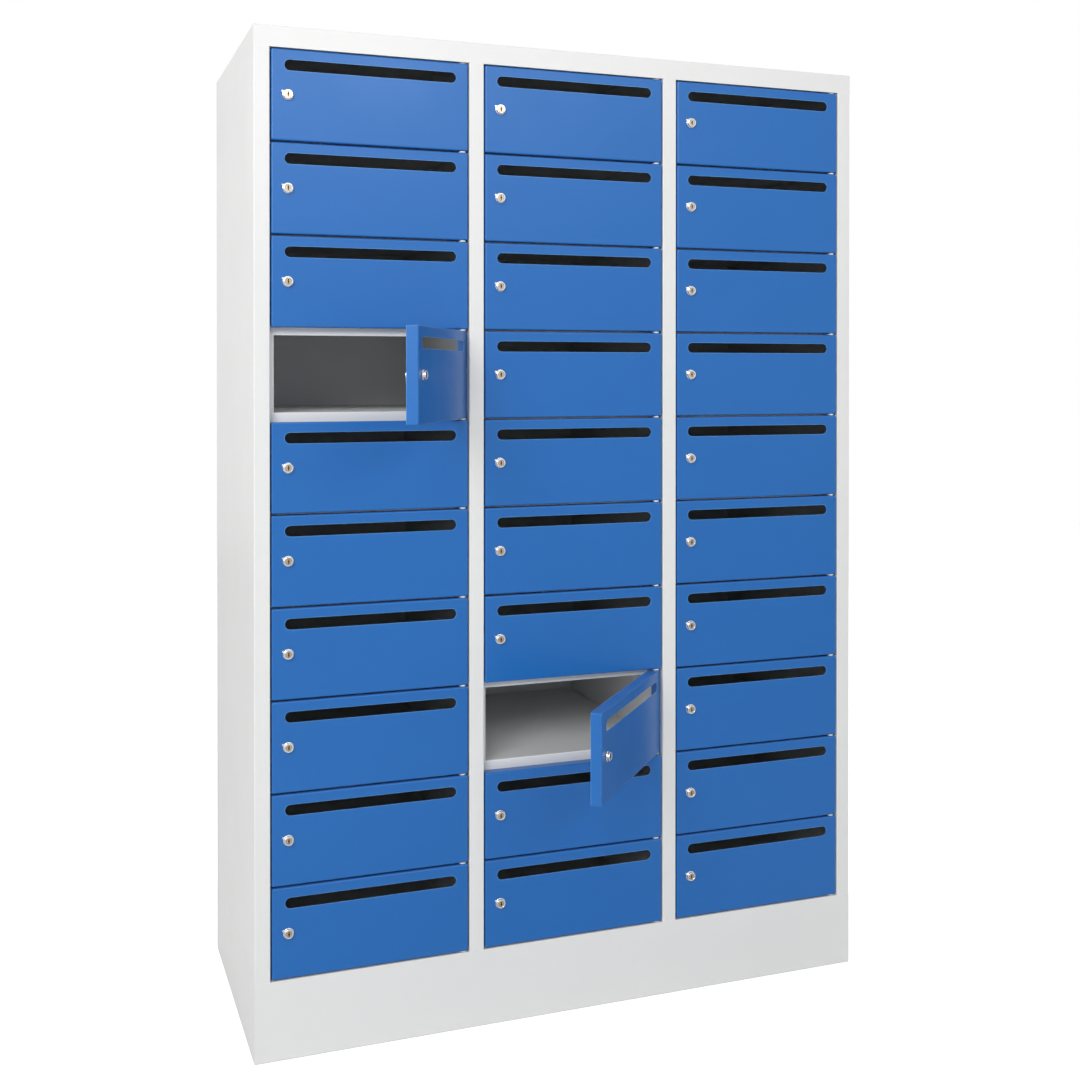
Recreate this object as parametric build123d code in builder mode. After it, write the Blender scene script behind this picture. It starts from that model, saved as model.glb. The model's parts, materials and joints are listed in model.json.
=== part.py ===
from build123d import *
import math
import os

# Steel mail locker: a folded-sheet cabinet with a plinth and a grid of small pan doors. Each door has a
# letter slot and a cam lock, and turns on vertical pins held in lugs between the rows.
# Origin: middle of the footprint, on the floor. +X is to the right, -Y is the door side, +Z is up.

# ---- whole locker
WIDTH = 1200.0
DEPTH = 500.0
HEIGHT = 1800.0
COLUMNS = 3
ROWS = 10

# ---- sheet steel
SHEET = 1.0                 # panels, shelves, stiles and partitions
PLINTH_SHEET = 1.5
FOLD_RADIUS = 1.0           # inside radius of every fold

# ---- front frame
STILE_FACE = 28.0           # width of each upright seen from the front
RAIL_FACE = 37.0            # height of the rail above the doors
PLINTH_HEIGHT = 140.0
STOP_LIP = 10.0             # how far the stop lips reach into a door opening
REAR_FLANGE = 20.0          # flanges riveted to the back panel

# ---- doors
DOOR_DEPTH = 20.0
DOOR_SHEET = 1.0
DOOR_CORNER = 2.5           # corner radius of a door seen from the front
ROW_GAP = 3.5               # between one door and the next
END_GAP = 2.5               # above the first door and below the last
LOCK_SIDE_GAP = 2.5
SLOT_HEIGHT = 19.0
SLOT_MARGIN = 23.0          # slot end to door edge
SLOT_DROP = 27.5            # slot centre below the door's top edge
STOP_CLEARANCE = 2.0        # closed door to the stop lips
OPEN_DOORS = {(0, 3): 60.0, (1, 7): 48.0}   # (column, row): degrees open at rest

# ---- hinges
PIN_INSET = 9.0             # pin axis from the door's edge
PIN_SETBACK = 6.5           # pin axis behind the door's face
PIN_RADIUS = 2.5
PIN_CLEARANCE = 0.05
PIN_REACH = 5.0             # pin inside the door, past its flange
CORNER_CLEARANCE = 0.4      # turning door corner to stile
SWING_CLEARANCE = 0.9       # turning hinge flange to stop lip
LUG_WIDTH = 13.0
LUG_CLEARANCE = 0.5         # lug to the door above or below
LUG_SETBACK = 2.0           # lug's nose behind the doors' faces

# ---- locks
LOCK_INSET = 28.7           # lock axis from the door's free edge
LOCK_HEAD_RADIUS = 9.5
LOCK_ROSETTE = 2.0
LOCK_COLLAR_RADIUS = 8.3
LOCK_PROUD = 6.5            # collar's face in front of the door
LOCK_BARREL_RADIUS = 8.0
LOCK_HOLE_CLEARANCE = 0.1
LOCK_EDGE = 0.8             # rounding of the head's edges
POINTER_REACH = 12.6
POINTER_TIP_RADIUS = 1.6
POINTER_ROOT_RADIUS = 3.2
POINTER_ROOT_REACH = 6.0
POINTER_ANGLE = 150.0       # up and towards the free edge
PLUG_RADIUS = 6.0
PLUG_CLEARANCE = 0.05
PLUG_RECESS = 0.4           # plug's face behind the collar's
KEYWAY_HEIGHT = 8.0
KEYWAY_WIDTH = 1.8
KEYWAY_EYE_RADIUS = 1.6
KEYWAY_DEPTH = 14.0
NUT_FLATS = 22.0
NUT_THICKNESS = 4.0
NUT_CLEARANCE = 0.05
CAM_THICKNESS = 2.0
CAM_CLEARANCE = 1.0         # cam to the back of the stop lip
CAM_GAP = 0.3               # cam to the barrel's end
CAM_OVERLAP = 8.8           # cam behind the stop lip when it is locked
CAM_BOSS_RADIUS = 8.0
CAM_TIP_RADIUS = 5.5
TAIL_SIDE = 7.0
TAIL_CLEARANCE = 0.05
CAM_SCREW_RADIUS = 2.0
CAM_SCREW_HEAD_RADIUS = 4.5
CAM_SCREW_HEAD = 2.5
CAM_SCREW_LENGTH = 8.0

# ---- shelves
FLOOR_RISE = 13.0           # compartment floor above its door's lower edge
LIP_DROP = 10.0             # stop lip below the gap between two doors
SHELF_FLANGE = 15.0

# ---- plinth
PLINTH_FLANGE = 40.0
ANCHOR_RADIUS = 5.5
ANCHOR_INSET = 24.0         # anchor axis from the plinth's front or back face
ANCHOR_SIDE_INSET = 90.0    # anchor axis from the plinth's side
CORNER_LEG = 25.0
CORNER_SHEET = 2.0
CORNER_MARGIN = 12.0        # corner angle to the plinth's flanges
BASE_FLANGE = 30.0          # inward flange at the foot of each side panel
BOLT_RADIUS = 3.0
BOLT_CLEARANCE = 0.3
BOLT_FLATS = 10.0
BOLT_HEAD = 4.0
BOLT_LENGTH = 14.0
BOLT_NUT = 5.0
BOLT_SIDE_INSET = 18.0
BOLT_SPACING = 300.0

# ---- back panel fixings
WALL_HOLE_RADIUS = 4.5
RIVET_RADIUS = 1.6
RIVET_CLEARANCE = 0.05
RIVET_HEAD_RADIUS = 3.25
RIVET_HEAD = 1.1
RIVET_EDGE = 0.9            # rounding of a rivet's head
RIVET_BULB_RADIUS = 2.3
RIVET_BULB = 3.0
RIVET_END_MARGIN = 45.0
RIVET_PITCH = 200.0         # longest distance between two rivets

# ---- worked out from the sizes above
LEFT = -WIDTH / 2
RIGHT = WIDTH / 2
FRONT = -DEPTH / 2
BACK = DEPTH / 2
BACK_INNER = BACK - 2 * SHEET               # inner face of the back panel
SHELF_BACK = BACK_INNER - SHEET - FOLD_RADIUS   # shelves stop in front of the partitions' bends
ROOF_UNDER = HEIGHT - SHEET
RAIL_BOTTOM = HEIGHT - RAIL_FACE
OPENING_WIDTH = (WIDTH - (COLUMNS + 1) * STILE_FACE) / COLUMNS
HINGE_SIDE_GAP = math.hypot(PIN_INSET, PIN_SETBACK) - PIN_INSET + CORNER_CLEARANCE
DOOR_WIDTH = OPENING_WIDTH - LOCK_SIDE_GAP - HINGE_SIDE_GAP
DOOR_ZONE = RAIL_BOTTOM - PLINTH_HEIGHT
DOOR_HEIGHT = (DOOR_ZONE - 2 * END_GAP - (ROWS - 1) * ROW_GAP) / ROWS
STOP_SETBACK = DOOR_DEPTH + STOP_CLEARANCE
STOP_FRONT = FRONT + STOP_SETBACK           # front face of every stop lip
STOP_BACK = STOP_FRONT + SHEET
PIN_Y = FRONT + PIN_SETBACK
LOCK_X = PIN_INSET - DOOR_WIDTH + LOCK_INSET   # lock axis in the door's own frame
LOCK_Z = DOOR_HEIGHT / 2
CAM_FRONT = STOP_SETBACK + SHEET + CAM_CLEARANCE
BARREL_END = CAM_FRONT - CAM_GAP
CAM_REACH = LOCK_SIDE_GAP + LOCK_INSET - STOP_LIP + CAM_OVERLAP
HALF = SHEET / 2
DOOR_FACE = Plane.XZ.offset(PIN_SETBACK)    # outer face of a closed door in its own frame
COLUMN_NAMES = ("left", "middle", "right")


# ---- places
def opening_left(column):
    return LEFT + STILE_FACE + column * (OPENING_WIDTH + STILE_FACE)


def opening_right(column):
    return opening_left(column) + OPENING_WIDTH


def stile_centre(column):
    """Middle of the upright to the right of a column."""
    return opening_right(column) + STILE_FACE / 2


def door_bottom(row):
    return RAIL_BOTTOM - END_GAP - (row + 1) * DOOR_HEIGHT - row * ROW_GAP


def floor_top(row):
    return door_bottom(row) + FLOOR_RISE


def pin_x(column):
    return opening_right(column) - HINGE_SIDE_GAP - PIN_INSET


def bay(column):
    """Clear left and right limits of a column between its two walls."""
    low = LEFT + SHEET if column == 0 else stile_centre(column - 1) + HALF
    high = RIGHT - SHEET if column == COLUMNS - 1 else stile_centre(column) - HALF
    return low, high


def rivet_heights():
    low = PLINTH_HEIGHT + RIVET_END_MARGIN
    high = ROOF_UNDER - RIVET_END_MARGIN
    count = math.ceil((high - low) / RIVET_PITCH)
    return [low + (high - low) * step / count for step in range(count + 1)]


def rivet_columns():
    """X of each rivet row, and the Y of the face its heads sit on."""
    edge = REAR_FLANGE / 2
    rows = [(LEFT + edge, BACK), (RIGHT - edge, BACK)]
    rows += [(stile_centre(column) + edge, BACK - SHEET) for column in range(COLUMNS - 1)]
    return rows


def anchor_spots():
    x = WIDTH / 2 - ANCHOR_SIDE_INSET
    y = DEPTH / 2 - ANCHOR_INSET
    return [(i * x, j * y) for i in (-1, 1) for j in (-1, 1)]


def plinth_bolt_spots():
    x = WIDTH / 2 - BOLT_SIDE_INSET
    y = BOLT_SPACING / 2
    return [(i * x, j * y) for i in (-1, 1) for j in (-1, 1)]


# ---- shared shapes
def fold(plane, *points, sheet=SHEET):
    """Cross-section of a sheet folded along the middle line through the points."""
    with BuildSketch(plane) as section:
        with BuildLine():
            FilletPolyline(*points, radius=FOLD_RADIUS + sheet / 2)
        trace(line_width=sheet)
    return section.sketch


def plate(low, high):
    """Flat plate added to the part in hand, from its lowest to its highest corner."""
    size = [b - a for a, b in zip(low, high)]
    with Locations(low):
        Box(*size, align=(Align.MIN, Align.MIN, Align.MIN))


def drill_back(spots, radius):
    """Holes along Y through everything near the back, at (x, z) spots."""
    for x, z in spots:
        with Locations(Location((x, BACK_INNER - SHEET, z), (-90, 0, 0))):
            Cylinder(
                radius, 4 * SHEET, align=(Align.CENTER, Align.CENTER, Align.MIN), mode=Mode.SUBTRACT
            )


def drill_down(spots, radius, low, high):
    """Upright holes at (x, y) spots."""
    for x, y in spots:
        with Locations((x, y, low)):
            Cylinder(
                radius, high - low, align=(Align.CENTER, Align.CENTER, Align.MIN), mode=Mode.SUBTRACT
            )


def save(piece, name):
    piece.label = name
    export_step(piece, f"parts/{name}.step")


# ---- cabinet shell
def side_panel():
    """Left side: wall, front stile with its return and stop lip, rear flange and foot flange."""
    wall_x = LEFT + HALF
    edge_x = LEFT + STILE_FACE - HALF
    rivets = [(LEFT + REAR_FLANGE / 2, z) for z in rivet_heights()]
    foot_bolts = [spot for spot in plinth_bolt_spots() if spot[0] < 0]
    with BuildPart() as panel:
        stile = fold(
            Plane.XY.offset(PLINTH_HEIGHT),
            (LEFT + REAR_FLANGE, BACK - HALF),
            (wall_x, BACK - HALF),
            (wall_x, FRONT + HALF),
            (edge_x, FRONT + HALF),
            (edge_x, STOP_FRONT + HALF),
            (LEFT + STILE_FACE + STOP_LIP, STOP_FRONT + HALF),
        )
        extrude(stile, amount=DOOR_ZONE)
        head = fold(
            Plane.XY.offset(RAIL_BOTTOM),
            (LEFT + REAR_FLANGE, BACK - HALF),
            (wall_x, BACK - HALF),
            (wall_x, FRONT + SHEET),
        )
        extrude(head, amount=ROOF_UNDER - RAIL_BOTTOM)
        foot = fold(
            Plane.XZ.offset(-BACK_INNER),
            (wall_x, PLINTH_HEIGHT + BASE_FLANGE),
            (wall_x, PLINTH_HEIGHT + HALF),
            (LEFT + BASE_FLANGE, PLINTH_HEIGHT + HALF),
        )
        extrude(foot, amount=BACK_INNER - STOP_BACK)
        drill_back(rivets, RIVET_RADIUS + RIVET_CLEARANCE)
        drill_down(foot_bolts, BOLT_RADIUS + BOLT_CLEARANCE, PLINTH_HEIGHT, PLINTH_HEIGHT + SHEET)
    return panel


def back_panel():
    outer = WIDTH / 2 - SHEET - FOLD_RADIUS     # clear of the bends in the side panels
    rivets = [(x, z) for x, _ in rivet_columns() for z in rivet_heights()]
    wall_x = OPENING_WIDTH + STILE_FACE
    wall_spots = [(i * wall_x, door_bottom(row) + LOCK_Z) for i in (-1, 1) for row in (0, ROWS - 1)]
    with BuildPart() as panel:
        plate((-outer, BACK_INNER, PLINTH_HEIGHT), (outer, BACK - SHEET, ROOF_UNDER))
        drill_back(rivets, RIVET_RADIUS + RIVET_CLEARANCE)
        drill_back(wall_spots, WALL_HOLE_RADIUS)
    return panel


def top_panel():
    """Roof sheet folded down into the front rail, then back and down as the first row's stop lip."""
    face_y = FRONT + HALF
    return_z = RAIL_BOTTOM + HALF
    with BuildPart() as panel:
        roof = fold(
            Plane.YZ.offset(LEFT), (BACK, HEIGHT - HALF), (face_y, HEIGHT - HALF), (face_y, RAIL_BOTTOM)
        )
        extrude(roof, amount=WIDTH)
        under = fold(
            Plane.YZ.offset(LEFT + SHEET),
            (face_y, HEIGHT - STOP_LIP),
            (face_y, return_z),
            (STOP_BACK, return_z),
        )
        extrude(under, amount=WIDTH - 2 * SHEET)
        for column in range(COLUMNS):
            lip = fold(
                Plane.YZ.offset(opening_left(column) + STOP_LIP),
                (FRONT + STOP_LIP, return_z),
                (STOP_FRONT + HALF, return_z),
                (STOP_FRONT + HALF, RAIL_BOTTOM - STOP_LIP),
            )
            extrude(lip, amount=OPENING_WIDTH - 2 * STOP_LIP)
    return panel


def bottom_panel():
    """Floor of the last row, with flanges down to the plinth and a stop lip in each opening."""
    floor_z = floor_top(ROWS - 1) - HALF
    side_x = WIDTH / 2 - SHEET - HALF
    foot_z = PLINTH_HEIGHT + SHEET + FOLD_RADIUS    # clear of the bends in the side panels
    with BuildPart() as panel:
        floor = fold(
            Plane.XZ.offset(-SHELF_BACK),
            (-side_x, foot_z),
            (-side_x, floor_z),
            (side_x, floor_z),
            (side_x, foot_z),
        )
        extrude(floor, amount=SHELF_BACK - STOP_BACK)
        for column in range(COLUMNS):
            lip = fold(
                Plane.YZ.offset(opening_left(column) + STOP_LIP),
                (SHELF_BACK - HALF, PLINTH_HEIGHT),
                (SHELF_BACK - HALF, floor_z),
                (STOP_FRONT + HALF, floor_z),
                (STOP_FRONT + HALF, PLINTH_HEIGHT),
            )
            extrude(lip, amount=OPENING_WIDTH - 2 * STOP_LIP)
    return panel


def partition(column):
    """Wall to the right of a column, let into the hollow stile and flanged at the back."""
    x = stile_centre(column)
    foot_z = floor_top(ROWS - 1)
    rivets = [(x + REAR_FLANGE / 2, z) for z in rivet_heights()]
    with BuildPart() as wall:
        section = fold(
            Plane.XY.offset(foot_z),
            (x + REAR_FLANGE, BACK_INNER - HALF),
            (x, BACK_INNER - HALF),
            (x, STOP_BACK),
        )
        extrude(section, amount=ROOF_UNDER - foot_z)
        plate((x - HALF, FRONT + SHEET, foot_z), (x + HALF, STOP_BACK, RAIL_BOTTOM))
        drill_back(rivets, RIVET_RADIUS + RIVET_CLEARANCE)
    return wall


def front_stile(column):
    """Hollow upright to the right of a column, with a stop lip on each side."""
    x = stile_centre(column)
    side = STILE_FACE / 2 - HALF
    tip = STILE_FACE / 2 + STOP_LIP
    with BuildPart() as stile:
        section = fold(
            Plane.XY.offset(PLINTH_HEIGHT),
            (x - tip, STOP_FRONT + HALF),
            (x - side, STOP_FRONT + HALF),
            (x - side, FRONT + HALF),
            (x + side, FRONT + HALF),
            (x + side, STOP_FRONT + HALF),
            (x + tip, STOP_FRONT + HALF),
        )
        extrude(section, amount=DOOR_ZONE)
    return stile


def shelves(column):
    """Every shelf of a column: a tray whose front lip covers the gap between two doors."""
    low, high = bay(column)
    with BuildPart() as trays:
        for row in range(ROWS - 1):
            floor_z = floor_top(row) - HALF
            flange_z = floor_top(row) - SHELF_FLANGE
            tray = fold(
                Plane.XZ.offset(-SHELF_BACK),
                (low + HALF, flange_z),
                (low + HALF, floor_z),
                (high - HALF, floor_z),
                (high - HALF, flange_z),
            )
            extrude(tray, amount=SHELF_BACK - STOP_BACK)
            lip = fold(
                Plane.YZ.offset(opening_left(column) + STOP_LIP),
                (SHELF_BACK - HALF, flange_z),
                (SHELF_BACK - HALF, floor_z),
                (STOP_FRONT + HALF, floor_z),
                (STOP_FRONT + HALF, door_bottom(row) - ROW_GAP - LIP_DROP),
            )
            extrude(lip, amount=OPENING_WIDTH - 2 * STOP_LIP)
    return trays


# ---- plinth
def plinth_front():
    """Front plate of the plinth, flush with the uprights, with flanges at its top and foot."""
    half = PLINTH_SHEET / 2
    face_y = FRONT + half
    anchors = [spot for spot in anchor_spots() if spot[1] < 0]
    with BuildPart() as front:
        channel = fold(
            Plane.YZ.offset(LEFT + PLINTH_SHEET),
            (FRONT + PLINTH_FLANGE, PLINTH_HEIGHT - half),
            (face_y, PLINTH_HEIGHT - half),
            (face_y, half),
            (FRONT + PLINTH_FLANGE, half),
            sheet=PLINTH_SHEET,
        )
        extrude(channel, amount=WIDTH - 2 * PLINTH_SHEET)
        for x in (LEFT, RIGHT - PLINTH_SHEET):
            plate((x, FRONT, 0), (x + PLINTH_SHEET, FRONT + PLINTH_SHEET, PLINTH_HEIGHT))
        bead_z = PLINTH_HEIGHT - FOLD_RADIUS - PLINTH_SHEET
        plate((LEFT, FRONT, bead_z), (RIGHT, FRONT + PLINTH_SHEET, PLINTH_HEIGHT))
        drill_down(anchors, ANCHOR_RADIUS, 0, PLINTH_SHEET)
    return front


def plinth_side():
    """Left plate of the plinth, between the front and back plates."""
    half = PLINTH_SHEET / 2
    wall_x = LEFT + half
    foot_bolts = [spot for spot in plinth_bolt_spots() if spot[0] < 0]
    with BuildPart() as side:
        channel = fold(
            Plane.XZ.offset(FRONT + PLINTH_FLANGE),
            (LEFT + PLINTH_FLANGE, PLINTH_HEIGHT - half),
            (wall_x, PLINTH_HEIGHT - half),
            (wall_x, half),
            (LEFT + PLINTH_FLANGE, half),
            sheet=PLINTH_SHEET,
        )
        extrude(channel, amount=DEPTH - 2 * PLINTH_FLANGE)
        plate((LEFT, FRONT + PLINTH_SHEET, 0), (LEFT + PLINTH_SHEET, BACK - PLINTH_SHEET, PLINTH_HEIGHT))
        drill_down(
            foot_bolts, BOLT_RADIUS + BOLT_CLEARANCE, PLINTH_HEIGHT - PLINTH_SHEET, PLINTH_HEIGHT
        )
    return side


def plinth_corners():
    """Four upright angles inside the corners of the plinth."""
    low = PLINTH_SHEET + CORNER_MARGIN
    high = PLINTH_HEIGHT - PLINTH_SHEET - CORNER_MARGIN
    x = WIDTH / 2 - PLINTH_SHEET
    y = DEPTH / 2 - PLINTH_SHEET
    half = CORNER_SHEET / 2
    with BuildPart() as corners:
        for i in (-1, 1):
            for j in (-1, 1):
                angle = fold(
                    Plane.XY.offset(low),
                    (i * (x - CORNER_LEG), j * (y - half)),
                    (i * (x - half), j * (y - half)),
                    (i * (x - half), j * (y - CORNER_LEG)),
                    sheet=CORNER_SHEET,
                )
                extrude(angle, amount=high - low)
    return corners


def plinth_bolts():
    """Hexagon bolts and nuts that hold the side panels down on the plinth."""
    under_head = PLINTH_HEIGHT + SHEET
    nut_top = PLINTH_HEIGHT - PLINTH_SHEET
    with BuildPart() as bolt:
        with BuildSketch(Plane.XY.offset(under_head)):
            RegularPolygon(BOLT_FLATS / 2, 6, major_radius=False)
        extrude(amount=BOLT_HEAD)
        with BuildSketch(Plane.XY.offset(under_head)):
            Circle(BOLT_RADIUS)
        extrude(amount=-BOLT_LENGTH)
    with BuildPart() as nut:
        with BuildSketch(Plane.XY.offset(nut_top)):
            RegularPolygon(BOLT_FLATS / 2, 6, major_radius=False)
            Circle(BOLT_RADIUS + RIVET_CLEARANCE, mode=Mode.SUBTRACT)
        extrude(amount=-BOLT_NUT)
    spots = [Location((x, y, 0)) for x, y in plinth_bolt_spots()]
    return Compound(children=[part.moved(spot) for spot in spots for part in (bolt.part, nut.part)])


# ---- fixings at the back
def back_rivets():
    """Blind rivets: a round head outside, the set end inside."""
    grip = 2 * SHEET
    with BuildPart() as rivet:
        with BuildSketch(Plane.XY):
            Circle(RIVET_HEAD_RADIUS)
        extrude(amount=-RIVET_HEAD)
        fillet(rivet.edges().group_by(Axis.Z)[0], radius=RIVET_EDGE)
        with BuildSketch(Plane.XY):
            Circle(RIVET_RADIUS)
        extrude(amount=grip)
        with BuildSketch(Plane.XY.offset(grip)):
            Circle(RIVET_BULB_RADIUS)
        extrude(amount=RIVET_BULB)
    with BuildPart() as rivets:
        for x, y in rivet_columns():
            for z in rivet_heights():
                with Locations(Location((x, y, z), (90, 0, 0))):
                    add(rivet.part)
    return rivets


# ---- hinges
def row_gaps():
    """Lower and upper limits of each gap above, between and below the doors, from the top down."""
    gaps = [(RAIL_BOTTOM - END_GAP, RAIL_BOTTOM)]
    gaps += [(door_bottom(row) - ROW_GAP, door_bottom(row)) for row in range(ROWS - 1)]
    gaps += [(PLINTH_HEIGHT, PLINTH_HEIGHT + END_GAP)]
    return gaps


def hinge_lugs():
    """Round-nosed plates on the stop lips, one in each gap, each holding a pin."""
    nose_y = FRONT + LUG_SETBACK + LUG_WIDTH / 2
    body = STOP_FRONT - nose_y
    with BuildPart() as lugs:
        for column in range(COLUMNS):
            for low, high in row_gaps():
                with BuildSketch(Plane.XY.offset(low + LUG_CLEARANCE)) as outline:
                    with Locations((pin_x(column), nose_y)):
                        Circle(LUG_WIDTH / 2)
                        Rectangle(LUG_WIDTH, body, align=(Align.CENTER, Align.MIN))
                    with Locations((pin_x(column), PIN_Y)):
                        Circle(PIN_RADIUS, mode=Mode.SUBTRACT)
                extrude(outline.sketch, amount=high - low - 2 * LUG_CLEARANCE)
    return lugs


def hinge_pins():
    """Pins through the lugs into the flanges of the doors next to them."""
    reach = DOOR_SHEET + PIN_REACH
    with BuildPart() as pins:
        for column in range(COLUMNS):
            for low, high in row_gaps():
                start = low + LUG_CLEARANCE if low == PLINTH_HEIGHT else low - reach
                end = high - LUG_CLEARANCE if high == RAIL_BOTTOM else high + reach
                with BuildSketch(Plane.XY.offset(start)) as section:
                    with Locations((pin_x(column), PIN_Y)):
                        Circle(PIN_RADIUS)
                extrude(section.sketch, amount=end - start)
    return pins


# ---- door, in its own frame: closed, hinge axis on the Z axis, lower edge at z = 0
def door_leaf():
    """Pan folded from one sheet, with the letter slot, the lock's hole and the pin holes."""
    middle_x = PIN_INSET - DOOR_WIDTH / 2
    flange_back = DOOR_DEPTH - PIN_SETBACK
    swing = STOP_SETBACK - PIN_SETBACK - SWING_CLEARANCE
    relief = min(math.sqrt(swing**2 - PIN_INSET**2), flange_back)
    with BuildPart() as leaf:
        with BuildSketch(DOOR_FACE):
            with Locations((middle_x, DOOR_HEIGHT / 2)):
                RectangleRounded(DOOR_WIDTH, DOOR_HEIGHT, DOOR_CORNER)
        extrude(amount=-DOOR_DEPTH)
        fillet(leaf.edges().group_by(Axis.Y)[0], radius=FOLD_RADIUS + DOOR_SHEET)
        offset(amount=-DOOR_SHEET, openings=leaf.faces().sort_by(Axis.Y)[-1])
        with BuildSketch(DOOR_FACE):
            with Locations((middle_x, DOOR_HEIGHT - SLOT_DROP)):
                SlotOverall(DOOR_WIDTH - 2 * SLOT_MARGIN, SLOT_HEIGHT)
            with Locations((LOCK_X, LOCK_Z)):
                Circle(LOCK_BARREL_RADIUS + LOCK_HOLE_CLEARANCE)
        extrude(amount=-2 * DOOR_SHEET, mode=Mode.SUBTRACT)
        with BuildSketch(Plane.XY):
            Circle(PIN_RADIUS + PIN_CLEARANCE)
        extrude(amount=DOOR_HEIGHT, mode=Mode.SUBTRACT)
        if relief < flange_back:
            with BuildSketch(Plane.XY):
                with Locations((PIN_INSET, relief)):
                    Rectangle(PIN_INSET + SHEET, flange_back, align=(Align.MAX, Align.MIN))
            extrude(amount=DOOR_HEIGHT, mode=Mode.SUBTRACT)
    return leaf.part


# ---- lock, in the door's own frame, with its cam hanging down
def lock_housing():
    """Round head with a small pointer, and the threaded barrel behind it."""
    angle = math.radians(POINTER_ANGLE)
    root = (POINTER_ROOT_REACH * math.cos(angle), POINTER_ROOT_REACH * math.sin(angle))
    tip_reach = POINTER_REACH - POINTER_TIP_RADIUS
    tip = (tip_reach * math.cos(angle), tip_reach * math.sin(angle))
    with BuildPart() as housing:
        with BuildSketch(DOOR_FACE) as pointer:
            with Locations((LOCK_X + root[0], LOCK_Z + root[1])):
                Circle(POINTER_ROOT_RADIUS)
            with Locations((LOCK_X + tip[0], LOCK_Z + tip[1])):
                Circle(POINTER_TIP_RADIUS)
            make_hull()
        extrude(amount=LOCK_ROSETTE)
        with BuildSketch(DOOR_FACE):
            with Locations((LOCK_X, LOCK_Z)):
                Circle(LOCK_HEAD_RADIUS)
        extrude(amount=LOCK_ROSETTE)
        with BuildSketch(DOOR_FACE):
            with Locations((LOCK_X, LOCK_Z)):
                Circle(LOCK_COLLAR_RADIUS)
        extrude(amount=LOCK_PROUD)
        fillet(housing.edges().group_by(Axis.Y)[0], radius=LOCK_EDGE)
        with BuildSketch(DOOR_FACE):
            with Locations((LOCK_X, LOCK_Z)):
                Circle(LOCK_BARREL_RADIUS)
        extrude(amount=-BARREL_END)
        with BuildSketch(DOOR_FACE.offset(LOCK_PROUD)):
            with Locations((LOCK_X, LOCK_Z)):
                Circle(PLUG_RADIUS + PLUG_CLEARANCE)
        extrude(amount=-(LOCK_PROUD + BARREL_END), mode=Mode.SUBTRACT)
    return housing.part


def lock_nut():
    with BuildPart() as nut:
        with BuildSketch(DOOR_FACE.offset(-DOOR_SHEET)):
            with Locations((LOCK_X, LOCK_Z)):
                RegularPolygon(NUT_FLATS / 2, 6, major_radius=False)
                Circle(LOCK_BARREL_RADIUS + NUT_CLEARANCE, mode=Mode.SUBTRACT)
        extrude(amount=-NUT_THICKNESS)
    return nut.part


def lock_plug():
    """Turning plug with its keyway, and the square tail that carries the cam."""
    face = DOOR_FACE.offset(LOCK_PROUD - PLUG_RECESS)
    with BuildPart() as plug:
        with BuildSketch(face):
            with Locations((LOCK_X, LOCK_Z)):
                Circle(PLUG_RADIUS)
        extrude(amount=-(LOCK_PROUD - PLUG_RECESS + BARREL_END))
        with BuildSketch(DOOR_FACE.offset(-BARREL_END)):
            with Locations((LOCK_X, LOCK_Z)):
                Rectangle(TAIL_SIDE, TAIL_SIDE)
        extrude(amount=-(CAM_GAP + CAM_THICKNESS))
        with BuildSketch(face):
            with Locations((LOCK_X, LOCK_Z)):
                Rectangle(KEYWAY_WIDTH, KEYWAY_HEIGHT)
                Circle(KEYWAY_EYE_RADIUS)
        extrude(amount=-KEYWAY_DEPTH, mode=Mode.SUBTRACT)
        with BuildSketch(DOOR_FACE.offset(-(CAM_FRONT + CAM_THICKNESS))):
            with Locations((LOCK_X, LOCK_Z)):
                Circle(CAM_SCREW_RADIUS + TAIL_CLEARANCE)
        extrude(amount=CAM_SCREW_LENGTH, mode=Mode.SUBTRACT)
    return plug.part


def lock_cam():
    """Flat tongue on the plug's tail, with the screw that holds it."""
    tip_z = LOCK_Z - CAM_REACH + CAM_TIP_RADIUS
    hole = TAIL_SIDE + 2 * TAIL_CLEARANCE
    with BuildPart() as cam:
        with BuildSketch(DOOR_FACE.offset(-CAM_FRONT)) as tongue:
            with Locations((LOCK_X, LOCK_Z)):
                Circle(CAM_BOSS_RADIUS)
            with Locations((LOCK_X, tip_z)):
                Circle(CAM_TIP_RADIUS)
            make_hull()
            with Locations((LOCK_X, LOCK_Z)):
                Rectangle(hole, hole, mode=Mode.SUBTRACT)
        extrude(amount=-CAM_THICKNESS)
    with BuildPart() as screw:
        with BuildSketch(DOOR_FACE.offset(-(CAM_FRONT + CAM_THICKNESS))):
            with Locations((LOCK_X, LOCK_Z)):
                Circle(CAM_SCREW_HEAD_RADIUS)
        extrude(amount=-CAM_SCREW_HEAD)
        fillet(screw.edges().group_by(Axis.Y)[-1], radius=LOCK_EDGE)
        with BuildSketch(DOOR_FACE.offset(-(CAM_FRONT + CAM_THICKNESS))):
            with Locations((LOCK_X, LOCK_Z)):
                Circle(CAM_SCREW_RADIUS)
        extrude(amount=CAM_SCREW_LENGTH - 1)
    return cam.part, screw.part


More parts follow.
